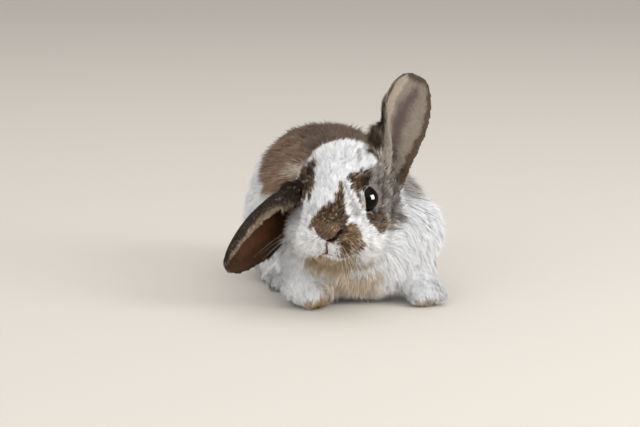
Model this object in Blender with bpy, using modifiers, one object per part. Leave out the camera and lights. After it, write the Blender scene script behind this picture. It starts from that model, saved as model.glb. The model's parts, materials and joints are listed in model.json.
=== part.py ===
"""Young rabbit crouching with its head turned, as a still life-size model.

The body is modelled out to the tips of its coat. The masses are laid out in millimetres, with the
rabbit facing -Y, its left side at +X and the floor at z = 0; the head has its own frame, whose
origin lies midway between the eyes. At the end everything is set over the origin and scaled to metres.
"""

import math

import bmesh
import bpy
import numpy as np
from mathutils import Matrix, Vector

MM = 0.001
GAP = 0.3  # clearance between touching pieces, mm

# Driving sizes of the trunk, mm
BODY_HALF_WIDTH = 44.0
RUMP_Y = 132.0
BACK_HEIGHT = 82.0  # highest point of the arched back
WITHERS_HEIGHT = 70.0
BELLY_CLEARANCE = 1.0

# Driving sizes and place of the head, mm and degrees
HEAD_ORIGIN = Vector((-13.1, -2.5, 56.0))
HEAD_YAW = 27.0  # turned to the rabbit's right
HEAD_PITCH = 10.0  # nose down
HEAD_ROLL = 4.0  # crown leaning to the rabbit's left
EYE_RADIUS = 7.2
EYE_CENTRE = Vector((12.0, 0.5, 0.5))

# Masses of the head, mm, in the head's frame: centre and radii; paired masses mirror in x
HEAD_MASSES = {
    "skull": ((0, 15, -1), (25, 20, 26)),
    "brow": ((0, 4, 0), (17, 20, 21)),
    "face": ((0, -5, -4), (16, 20, 18)),
    "snout": ((0, -10, -8), (15.5, 20, 16)),
    "muzzle": ((0, -18, -11), (14, 14, 12.5)),
    "nose": ((0, -26.5, -7), (6, 6, 5.5)),
    "chin": ((0, -17, -21.5), (9, 10, 8)),
    "throat": ((0, 5, -17), (17, 18, 14)),
}
PAIRED_HEAD_MASSES = {
    "cheek": ((11, 12, -12), (14, 17, 16.5)),
    "jowl": ((12, -1, -20.5), (12.5, 15, 12.5)),
    "whisker_pad": ((7, -21.5, -14.5), (9.5, 9.5, 8.5)),
}

# Masses of the trunk, mm: centre and radii; paired masses mirror in x
TRUNK_MASSES = {
    "haunches": ((0, 82, 42), (BODY_HALF_WIDTH - 3, 46, BACK_HEIGHT - 42)),
    "back": ((0, 58, 41), (BODY_HALF_WIDTH - 3, 44, BACK_HEIGHT - 44)),
    "withers": ((2, 36, 39), (BODY_HALF_WIDTH - 4, 38, WITHERS_HEIGHT - 37)),
    "breast": ((4, 12, 24), (30, 21, 22)),
    "nape": ((-5, 26, 53), (26, 27, 23)),
    "seat": ((0, RUMP_Y - 26, 30), (31, 26, 28)),
    "left_shoulder": ((28, 18, 32), (18, 20, 23)),
    "right_shoulder": ((-25, 25, 29), (17, 19, 20)),
}
PAIRED_TRUNK_MASSES = {"thigh": ((29, 80, 30), (15, 33, 29))}

# Ears, mm
EAR_THICKNESS = 2.2

# Front paws: the wrist's place, mm, and how far the paw points outward, degrees
FORE_PAWS = {"right": ((-31.5, 7.0, 9.0), -46.0), "left": ((29.5, 4.0, 9.0), 12.0)}

# Where the body is parted: centres and radii of balls, and places along the trunk, mm
NOSE_BALL = ((0.0, -29.5, -7.0), (7.5, 6.0, 6.5))  # in the head's frame
JAW_BALL = ((0.0, -12.0, -26.0), (12.0, 17.0, 8.0))  # in the head's frame
NECK_BALL = ((-6.0, 26.0, 57.0), (27.0, 22.0, 24.0))
LEG_BALLS = {
    "upper_arm": ((39.0, 21.0, 30.0), (15.0, 20.0, 24.0)),
    "thigh": ((40.0, 82.0, 32.0), (16.0, 33.0, 28.0)),
}
CHEST_PLANE_Y = 40.0
RUMP_PLANE_Y = 78.0

# Mesh resolution, mm, and triangle budgets
BODY_VOXEL = 1.7
HEAD_VOXEL = 1.2
LIMB_VOXEL = 1.0
HEAD_TRIANGLES = 1100
TRUNK_TRIANGLES = 1200
LEG_TRIANGLES = 180
TAIL_TRIANGLES = 110
BALL_SEGMENTS = 14

WHITE_FUR = (0.80, 0.79, 0.78)
BROWN_FUR = (0.17, 0.10, 0.06)
GREY_FUR = (0.30, 0.26, 0.24)
TAN_FUR = (0.36, 0.24, 0.13)
EYE_BLACK = (0.012, 0.009, 0.008)


# ---------------------------------------------------------------- scene and materials


def clear_scene():
    """Remove whatever objects the scene starts with."""
    for obj in list(bpy.data.objects):
        bpy.data.objects.remove(obj)


def collection(name):
    """Make a collection and link it to the scene."""
    made = bpy.data.collections.new(name)
    bpy.context.scene.collection.children.link(made)
    return made


def material(name, colour, roughness):
    """Make a Principled material with one colour and roughness."""
    made = bpy.data.materials.new(name)
    made.use_nodes = True
    shader = made.node_tree.nodes["Principled BSDF"]
    shader.inputs["Base Color"].default_value = (*colour, 1.0)
    shader.inputs["Roughness"].default_value = roughness
    shader.inputs["Metallic"].default_value = 0.0
    return made


# ---------------------------------------------------------------- mesh helpers


def object_from_bmesh(name, mesh_data, group):
    """Turn a bmesh into an object of a collection."""
    mesh = bpy.data.meshes.new(name)
    mesh_data.to_mesh(mesh)
    mesh_data.free()
    obj = bpy.data.objects.new(name, mesh)
    group.objects.link(obj)
    return obj


def add_ellipsoid(mesh_data, centre, radii, segments=40):
    """Add an ellipsoid to a bmesh."""
    place = Matrix.Translation(centre) @ Matrix.Diagonal((*radii, 1.0))
    rings = segments // 2
    bmesh.ops.create_uvsphere(mesh_data, u_segments=segments, v_segments=rings, radius=1.0, matrix=place)


def add_masses(mesh_data, middle, paired):
    """Add the ellipsoids of two tables: those on the middle line, and those that mirror in x."""
    for centre, radii in middle.values():
        add_ellipsoid(mesh_data, centre, radii)
    for centre, radii in paired.values():
        for side in (-1, 1):
            add_ellipsoid(mesh_data, (centre[0] * side, centre[1], centre[2]), radii)


def add_limb(mesh_data, stations, spacing=1.5, flatten=1.0):
    """Add a row of overlapping balls along stations (point, radius); flatten squeezes them in z."""
    for (start, start_radius), (end, end_radius) in zip(stations, stations[1:]):
        run = (Vector(end) - Vector(start)).length
        steps = max(2, int(run / spacing))
        for step in range(steps + 1):
            share = step / steps
            radius = start_radius + (end_radius - start_radius) * share
            centre = Vector(start).lerp(Vector(end), share)
            add_ellipsoid(mesh_data, centre, (radius, radius, radius * flatten), segments=20)


def bake(obj):
    """Replace the object's mesh by its modified one and drop the modifiers."""
    graph = bpy.context.evaluated_depsgraph_get()
    made = bpy.data.meshes.new_from_object(obj.evaluated_get(graph))
    obj.modifiers.clear()
    obj.data = made
    return obj


def melt(obj, voxel, smoothing, triangles):
    """Fuse the object's overlapping masses to one smooth closed body of about so many triangles."""
    remesh = obj.modifiers.new("fuse", "REMESH")
    remesh.mode = "VOXEL"
    remesh.voxel_size = voxel
    smooth = obj.modifiers.new("smooth", "SMOOTH")
    smooth.factor = 0.5
    smooth.iterations = smoothing
    bake(obj)
    split = obj.modifiers.new("triangles", "TRIANGULATE")
    split.quad_method = "SHORTEST_DIAGONAL"
    bake(obj)
    thin = obj.modifiers.new("thin", "DECIMATE")
    thin.ratio = min(1.0, triangles / len(obj.data.polygons))
    return bake(obj)


def inflated(obj, amount):
    """Copy the object, grown by the amount along its normals."""
    copy = bpy.data.objects.new(f"{obj.name}_grown", obj.data.copy())
    cutters.objects.link(copy)
    copy.display_type = "WIRE"
    grow = copy.modifiers.new("grow", "DISPLACE")
    grow.strength = amount
    grow.mid_level = 0.0
    return bake(copy)


def combine(obj, other, operation):
    """Apply one exact Boolean with another object and bake it."""
    cut = obj.modifiers.new("cut", "BOOLEAN")
    cut.operation = operation
    cut.solver = "EXACT"
    cut.object = other
    return bake(obj)


def duplicate(obj, name, group):
    """Copy an object with its own mesh."""
    copy = bpy.data.objects.new(name, obj.data.copy())
    group.objects.link(copy)
    return copy


def split_by_ball(whole, name, centre, radii, turn=None):
    """Take what an ellipsoid holds out of the whole as a new piece, leaving a thin gap round it.

    turn, if given, takes the ellipsoid from its own frame to the body's.
    """
    cutter_pair = []
    for word, growth in (("inner", 0.0), ("outer", GAP)):
        ball = bmesh.new()
        add_ellipsoid(ball, centre, [radius + growth for radius in radii], segments=BALL_SEGMENTS)
        cutter = object_from_bmesh(f"{name}_{word}", ball, cutters)
        cutter.display_type = "WIRE"
        if turn is not None:
            cutter.data.transform(turn)
        cutter_pair.append(cutter)
    inner, outer = cutter_pair
    piece = combine(duplicate(whole, name, parts), inner, "INTERSECT")
    combine(whole, outer, "DIFFERENCE")
    return piece


def split_by_plane(whole, name, point, normal):
    """Take what lies on the normal's side of a plane as a new piece, leaving a thin gap at the plane."""
    normal = Vector(normal).normalized()
    piece = duplicate(whole, name, parts)
    for obj, offset, clear_outer in ((piece, GAP / 2, False), (whole, -GAP / 2, True)):
        cut = bmesh.new()
        cut.from_mesh(obj.data)
        found = bmesh.ops.bisect_plane(
            cut,
            geom=cut.verts[:] + cut.edges[:] + cut.faces[:],
            dist=1e-5,
            plane_co=Vector(point) + normal * offset,
            plane_no=normal,
            clear_outer=clear_outer,
            clear_inner=not clear_outer,
        )
        rim = [item for item in found["geom_cut"] if isinstance(item, bmesh.types.BMEdge)]
        bmesh.ops.triangle_fill(cut, use_beauty=True, edges=rim)
        bmesh.ops.recalc_face_normals(cut, faces=cut.faces[:])
        cut.to_mesh(obj.data)
        cut.free()
    return piece


def flatten_sole(obj, level=0.0):
    """Cut away what lies under the floor, so that the piece rests on a flat."""
    cut = bmesh.new()
    cut.from_mesh(obj.data)
    found = bmesh.ops.bisect_plane(
        cut,
        geom=cut.verts[:] + cut.edges[:] + cut.faces[:],
        dist=1e-5,
        plane_co=(0.0, 0.0, level),
        plane_no=(0.0, 0.0, 1.0),
        clear_inner=True,
    )
    rim = [item for item in found["geom_cut"] if isinstance(item, bmesh.types.BMEdge)]
    bmesh.ops.triangle_fill(cut, use_beauty=True, edges=rim)
    bmesh.ops.recalc_face_normals(cut, faces=cut.faces[:])
    cut.to_mesh(obj.data)
    cut.free()
    return obj


# ---------------------------------------------------------------- head


def head_matrix():
    """Give the transform from the head's frame to the body's."""
    turn = Matrix.Rotation(math.radians(-HEAD_YAW), 4, "Z")
    turn = turn @ Matrix.Rotation(math.radians(HEAD_PITCH), 4, "X")
    turn = turn @ Matrix.Rotation(math.radians(HEAD_ROLL), 4, "Y")
    return Matrix.Translation(HEAD_ORIGIN) @ turn


def build_head():
    """Model the head, with its cheeks, muzzle, whisker pads, nose and chin, as one smooth body."""
    masses = bmesh.new()
    add_masses(masses, HEAD_MASSES, PAIRED_HEAD_MASSES)
    head = object_from_bmesh("head", masses, parts)
    melt(head, HEAD_VOXEL, 20, HEAD_TRIANGLES)
    head.data.transform(head_matrix())
    return head


def eye_place(side):
    """Give the centre of one eyeball in the head's frame."""
    return Vector((EYE_CENTRE.x * side, EYE_CENTRE.y, EYE_CENTRE.z))


def build_eye(name, side):
    """Model one eyeball."""
    ball = bmesh.new()
    add_ellipsoid(ball, eye_place(side), (EYE_RADIUS,) * 3, segments=BALL_SEGMENTS)
    eye = object_from_bmesh(name, ball, parts)
    eye.data.transform(head_matrix())
    return eye


def socket_cutter(side):
    """Give the ball that clears one eye's socket in the head."""
    ball = bmesh.new()
    add_ellipsoid(ball, eye_place(side), (EYE_RADIUS + GAP,) * 3, segments=BALL_SEGMENTS)
    cutter = object_from_bmesh("socket", ball, cutters)
    cutter.display_type = "WIRE"
    cutter.data.transform(head_matrix())
    return cutter


# ---------------------------------------------------------------- ears


def smoothstep(edge0, edge1, value):
    """Blend from 0 to 1 between two edges."""
    share = min(1.0, max(0.0, (value - edge0) / (edge1 - edge0)))
    return share * share * (3.0 - 2.0 * share)


def blend(start, end, share):
    """Blend two numbers."""
    return start + (end - start) * share


def ear_width(full, share, root_share, widest):
    """Give the ear's width round the shell at a share of its length."""
    if share <= widest:
        return full * blend(root_share, 1.0, smoothstep(0.0, widest, share))
    return full * math.sqrt(max(0.0, 1.0 - ((share - widest) / (1.0 - widest)) ** 2.0))


def ear_section(width, bend, fold, fold_at, columns=8, fold_spread=0.12, level_at=0.4):
    """Give the ear's cross-section from its outer to its inner edge, as (across, forward) pairs.

    The shell bends evenly by bend degrees, and by fold degrees more round fold_at, a share of
    the width. The section is level at level_at, which lies on the ear's axis.
    """

    def angle(share):
        rise = 0.5 * (1.0 + math.tanh((share - fold_at) / fold_spread))
        return math.radians(bend * share + fold * rise)

    level = angle(level_at)
    points = [(0.0, 0.0)]
    for column in range(columns):
        share = (column + 0.5) / columns
        turn = angle(share) - level
        across, forward = points[-1]
        step = width / columns
        points.append((across + math.cos(turn) * step, forward + math.sin(turn) * step))
    middle = int(round(level_at * columns))
    zero_across, zero_forward = points[middle]
    return [(across - zero_across, forward - zero_forward) for across, forward in points]


def build_ear(name, axis, facing, inner_side, width, root_share, widest, bend, fold, fold_at):
    """Model one ear as a cupped leaf on a bent axis: an open surface made solid.

    axis holds root, middle and tip; the cup opens towards facing; inner_side is +1 or -1 for the
    edge that folds; width is measured round the shell, and root_share is the root's part of it;
    widest is the share of the length where it is widest; bend and fold hold their degrees at the root
    and at the tip.
    """
    rows = 11
    root, middle, tip = (Vector(point) for point in axis)
    surface = bmesh.new()
    grid = []
    for row in range(rows + 1):
        share = min(1.0 - (1.0 - row / rows) ** 1.35, 0.995)
        point = root * (1 - share) ** 2 + middle * 2 * share * (1 - share) + tip * share**2
        along = ((middle - root) * (1 - share) + (tip - middle) * share).normalized()
        front = Vector(facing[0]).lerp(Vector(facing[1]), share)
        front = (front - along * front.dot(along)).normalized()
        across = along.cross(front).normalized() * inner_side
        ease = smoothstep(0.0, 0.7, share)
        round_shell = ear_width(width, share, root_share, widest)
        section = ear_section(round_shell, blend(*bend, ease), blend(*fold, ease), fold_at)
        grid.append([surface.verts.new(point + across * x + front * y) for x, y in section])
    for lower, upper in zip(grid, grid[1:]):
        for left, right, up_right, up_left in zip(lower, lower[1:], upper[1:], upper):
            surface.faces.new((left, right, up_right, up_left))
    ear = object_from_bmesh(name, surface, parts)
    shell = ear.modifiers.new("shell", "SOLIDIFY")
    shell.thickness = EAR_THICKNESS
    shell.offset = 0.0
    shell.use_even_offset = True
    return bake(ear)


# ---------------------------------------------------------------- trunk and legs


def build_trunk():
    """Model chest, back, belly, rump, shoulders and haunches as one smooth body."""
    masses = bmesh.new()
    add_masses(masses, TRUNK_MASSES, PAIRED_TRUNK_MASSES)
    trunk = object_from_bmesh("loin", masses, parts)
    melt(trunk, BODY_VOXEL, 36, TRUNK_TRIANGLES)
    return flatten_sole(trunk, BELLY_CLEARANCE)


def build_foreleg(name, side, wrist, outward):
    """Model one forearm with its paw, which points outward by some degrees from straight ahead."""
    masses = bmesh.new()
    wrist = Vector(wrist)
    elbow = Vector((28 * side + 2, 20, 22))
    ahead = Matrix.Rotation(math.radians(outward * side), 3, "Z") @ Vector((0, -1, 0))
    beside = Vector((-ahead.y, ahead.x, 0))
    add_limb(masses, [(elbow, 12.5), (wrist + Vector((0, 0, 1.5)), 10.5)])
    add_limb(masses, [(wrist, 10.5), (wrist + ahead * 9 - Vector((0, 0, 2)), 10.0)], flatten=0.8)
    for spread in (-6.3, -2.1, 2.1, 6.3):
        start = wrist + ahead * 9 + beside * spread - Vector((0, 0, 4))
        end = start + ahead * (5.5 - abs(spread) * 0.3) + beside * spread * 0.15
        add_limb(masses, [(start, 4.8), (end, 4.2)])
    leg = object_from_bmesh(name, masses, parts)
    melt(leg, LIMB_VOXEL, 4, LEG_TRIANGLES)
    return flatten_sole(leg)


def build_hind_foot(name, side):
    """Model one long hind foot, flat on the floor."""
    masses = bmesh.new()
    heel = (29 * side, 94, 6.6)
    ball = (30 * side, 55, 6.4)
    add_limb(masses, [(heel, 8.5), (ball, 8.5)], flatten=0.85)
    for spread in (-4.8, -1.6, 1.6, 4.8):
        start = (30 * side + spread, 55, 4.2)
        end = (30.5 * side + spread * 1.2, 46, 3.7)
        add_limb(masses, [(start, 4.4), (end, 3.8)])
    foot = object_from_bmesh(name, masses, parts)
    melt(foot, LIMB_VOXEL, 3, LEG_TRIANGLES)
    return flatten_sole(foot)


def build_tail():
    """Model the short tail, turned up against the rump."""
    masses = bmesh.new()
    add_limb(masses, [((0, RUMP_Y - 12, 20), 9), ((0, RUMP_Y - 2, 29), 9.5), ((0, RUMP_Y, 38), 6.5)])
    tail = object_from_bmesh("tail", masses, parts)
    return melt(tail, LIMB_VOXEL, 4, TAIL_TRIANGLES)


# ---------------------------------------------------------------- assembly


def centre_over_origin(objects):
    """Set the model over the origin, in metres, with the middle of its box at x = y = 0."""
    corners = np.array([tuple(vertex.co) for obj in objects for vertex in obj.data.vertices])
    low, high = corners.min(axis=0), corners.max(axis=0)
    middle = (low + high) / 2
    place = Matrix.Scale(MM, 4) @ Matrix.Translation((-middle[0], -middle[1], -low[2]))
    for obj in objects:
        obj.data.transform(place)


def paint(objects):
    """Give each object a material of its own, from the looks by name ending."""
    for obj in objects:
        colour, roughness = looks(obj.name)
        obj.data.materials.clear()
        obj.data.materials.append(material(f"{obj.name}_finish", colour, roughness))


def looks(name):
    """Choose a piece's colour and roughness from its name."""
    if name.endswith("eye"):
        return EYE_BLACK, 0.06
    if name.endswith("ear") or name in ("loin", "rump"):
        return BROWN_FUR, 0.9
    if name == "neck":
        return GREY_FUR, 0.9
    if name == "nose":
        return TAN_FUR, 0.9
    return WHITE_FUR, 0.9


def build_ears():
    """Model the raised left ear and the right one, which hangs out to its side."""
    raised = build_ear(
        "left_ear",
        axis=((11, 5, 63), (23.4, 14, 87.5), (35.6, 27, 112.7)),
        facing=((0.3, -0.9, 0.1), (-0.05, -1.0, 0.3)),
        inner_side=-1,
        width=32.0,
        root_share=0.86,
        widest=0.54,
        bend=(150, 60),
        fold=(55, 25),
        fold_at=0.72,
    )
    hanging = build_ear(
        "right_ear",
        axis=((-25, 27, 53.5), (-50.5, 12, 44.5), (-70.5, -1, 21.5)),
        facing=((0.16, -0.94, -0.29), (0.16, -0.94, -0.29)),
        inner_side=1,
        width=40.0,
        root_share=0.95,
        widest=0.45,
        bend=(60, 45),
        fold=(110, 95),
        fold_at=0.76,
    )
    return [raised, hanging]


def clear(obj, others, gap=GAP):
    """Cut away from an object what its neighbours take up, and a thin gap round them."""
    for other in others:
        combine(obj, inflated(other, gap), "DIFFERENCE")
    return obj


def main():
    """Build all the pieces, fit them together and set them over the origin."""
    head = build_head()
    trunk = build_trunk()
    ears = build_ears()
    legs = []
    for side, word in ((-1, "right"), (1, "left")):
        legs.append(build_foreleg(f"{word}_foreleg", side, *FORE_PAWS[word]))
        legs.append(build_hind_foot(f"{word}_hind_foot", side))
    tail = build_tail()
    for obj in (*ears, legs[0]):
        clear(obj, [head])
    clear(trunk, [head, *legs, tail])
    clear(trunk, [ears[1]], gap=12 * GAP)
    eyes = [build_eye("right_eye", -1), build_eye("left_eye", 1)]
    for side in (-1, 1):
        combine(head, socket_cutter(side), "DIFFERENCE")
    nose = split_by_ball(head, "nose", *NOSE_BALL, turn=head_matrix())
    jaw = split_by_ball(head, "lower_jaw", *JAW_BALL, turn=head_matrix())
    pieces = []
    for side, word in ((-1, "right"), (1, "left")):
        for name, (centre, radii) in LEG_BALLS.items():
            mirrored = (centre[0] * side, centre[1], centre[2])
            pieces.append(split_by_ball(trunk, f"{word}_{name}", mirrored, radii))
    pieces.append(split_by_ball(trunk, "neck", *NECK_BALL))
    pieces.append(split_by_plane(trunk, "rump", (0, RUMP_PLANE_Y, 0), (0, 1, 0.25)))
    pieces.append(split_by_plane(trunk, "chest", (0, CHEST_PLANE_Y, 0), (0, -1, 0)))
    everything = [head, nose, jaw, *eyes, *ears, trunk, *pieces, *legs, tail]
    centre_over_origin(everything)
    paint(everything)


clear_scene()
parts = collection("rabbit")
cutters = collection("cutters")
cutters.hide_render = True
main()
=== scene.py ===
"""Life-size still model of a young brown and white rabbit, crouching with its head turned.

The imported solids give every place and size. One skin stands inside them by the depth of the coat,
with its nose, lips and lids modelled, and a coat of thin tapered hairs, set in small tufts that
follow the lie of the fur, grows from it out to the solids' surface. All shaping is done in
millimetres in the row frame; objects are made in metres.
"""

import json
import logging
import math
from dataclasses import dataclass, field
from enum import Enum

import bmesh
import bpy
import numpy as np
from mathutils import Matrix, Vector
from mathutils.bvhtree import BVHTree
from mathutils.kdtree import KDTree

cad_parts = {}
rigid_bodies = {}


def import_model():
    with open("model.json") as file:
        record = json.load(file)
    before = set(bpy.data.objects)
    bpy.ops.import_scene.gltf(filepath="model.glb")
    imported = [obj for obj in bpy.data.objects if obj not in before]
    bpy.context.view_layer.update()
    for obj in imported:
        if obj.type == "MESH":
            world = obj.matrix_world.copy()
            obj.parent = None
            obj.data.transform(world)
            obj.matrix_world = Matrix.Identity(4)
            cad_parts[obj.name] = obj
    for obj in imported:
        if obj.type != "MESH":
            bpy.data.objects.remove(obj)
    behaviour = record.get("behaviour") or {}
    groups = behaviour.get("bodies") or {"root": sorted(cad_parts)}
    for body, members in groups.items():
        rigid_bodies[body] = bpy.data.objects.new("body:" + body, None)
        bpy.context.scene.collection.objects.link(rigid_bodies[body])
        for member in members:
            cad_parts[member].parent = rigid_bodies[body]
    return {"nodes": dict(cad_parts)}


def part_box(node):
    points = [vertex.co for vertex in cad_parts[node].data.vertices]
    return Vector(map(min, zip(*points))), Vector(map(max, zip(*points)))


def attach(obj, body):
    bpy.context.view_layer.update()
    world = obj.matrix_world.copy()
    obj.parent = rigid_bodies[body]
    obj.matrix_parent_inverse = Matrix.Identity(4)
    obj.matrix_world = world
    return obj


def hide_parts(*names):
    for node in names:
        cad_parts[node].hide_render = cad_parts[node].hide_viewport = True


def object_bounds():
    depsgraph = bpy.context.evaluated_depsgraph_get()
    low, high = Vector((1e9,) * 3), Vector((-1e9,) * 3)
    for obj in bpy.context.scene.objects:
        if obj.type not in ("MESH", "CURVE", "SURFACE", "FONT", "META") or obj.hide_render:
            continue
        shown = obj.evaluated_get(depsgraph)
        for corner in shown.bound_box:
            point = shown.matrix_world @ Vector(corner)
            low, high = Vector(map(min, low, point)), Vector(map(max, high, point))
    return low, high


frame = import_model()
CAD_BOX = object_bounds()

MM = 0.001
SEED = 4171
LOG = logging.getLogger("rabbit")
HEAD_NODES = ("head", "nose", "lower_jaw", "left_eye", "right_eye")
EAR_NODES = ("left_ear", "right_ear")
BODY = "root"  # the one body that every piece rides on

Array = np.ndarray
Triple = tuple[float, float, float]


# ---------------------------------------------------------------- numbers


def unit(vectors: Array) -> Array:
    """Scale vectors to length one.

    Args:
        vectors: rows of vectors.

    Returns:
        The rows, each of length one.
    """
    return vectors / np.maximum(np.linalg.norm(vectors, axis=-1, keepdims=True), 1e-9)


def smoothstep(low: float, high: float, value: Array) -> Array:
    """Blend from 0 to 1 between two edges, which may be given in either order."""
    share = np.clip((value - low) / (high - low), 0.0, 1.0)
    return share * share * (3.0 - 2.0 * share)


def lerp(start: Array, end: Array, share: Array) -> Array:
    """Blend two values by a share."""
    return start + (end - start) * share


def linear(red: float, green: float, blue: float) -> Triple:
    """Turn a display colour of 0 to 255 into the linear values that shaders take."""
    shares = (part / 255 for part in (red, green, blue))
    return tuple(((v + 0.055) / 1.055) ** 2.4 if v > 0.04 else v / 12.92 for v in shares)


def rgb(red: float, green: float, blue: float) -> Array:
    """Give a display colour of 0 to 255 as a linear row."""
    return np.array(linear(red, green, blue))


def waves(points: Array, length: float, seed: int, octaves: int = 3) -> Array:
    """Give a smooth random value of about -1 to 1 at each point.

    Args:
        points: places in mm.
        length: wavelength of the coarsest swell in mm.
        seed: picks the pattern.
        octaves: how many finer swells are laid over it.

    Returns:
        One value for each point.
    """
    rng = np.random.default_rng(seed)
    total = np.zeros(len(points))
    for octave in range(octaves):
        for _ in range(4):
            heading = unit(rng.normal(size=3)) * (2 * math.pi / length) * 1.9**octave
            total += np.sin(points @ heading + rng.uniform(0, 2 * math.pi)) * 0.5**octave
    return total / 2.8


# ---------------------------------------------------------------- poses of the head and ears


@dataclass(frozen=True)
class HeadPose:
    """Where the head is and how it is turned; its frame has its origin midway between the eyes.

    In the head's frame the face looks to -y, the left side is +x and the crown is +z.
    """

    place: Triple = (-13.1, -2.5, 56.0)  # its origin in the frame that the solids were modelled in, mm
    yaw: float = 27.0  # degrees to the rabbit's right
    pitch: float = 10.0  # degrees nose down
    roll: float = 4.0  # degrees crown to the rabbit's left
    eye_offset: Triple = (0.0, 0.5, 0.5)  # middle of the two eyes in the head's frame, mm

    def turn(self) -> Array:
        """Turn the head's axes into the row frame.

        Returns:
            The axes as the columns of a matrix.
        """
        turned = Matrix.Rotation(math.radians(-self.yaw), 3, "Z")
        turned = turned @ Matrix.Rotation(math.radians(self.pitch), 3, "X")
        turned = turned @ Matrix.Rotation(math.radians(self.roll), 3, "Y")
        return np.array(turned)

    def origin(self) -> Array:
        """Find the origin of the head's frame from the eyes' solids."""
        corners = [np.array(corner) for name in ("left_eye", "right_eye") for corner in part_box(name)]
        return np.mean(corners, axis=0) / MM - self.turn() @ np.array(self.eye_offset)

    def shift(self) -> Array:
        """Give the way from the frame of modelling, with the shoulders at x = 0, to the row frame."""
        return self.origin() - np.array(self.place)

    def to_head(self, points: Array) -> Array:
        """Take places from the row frame to the head's."""
        return (points - self.origin()) @ self.turn()

    def to_row(self, points: Array) -> Array:
        """Take places from the head's frame to the row frame."""
        return points @ self.turn().T + self.origin()

    def aim_row(self, vectors: Array) -> Array:
        """Take directions from the head's frame to the row frame."""
        return vectors @ self.turn().T


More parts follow.
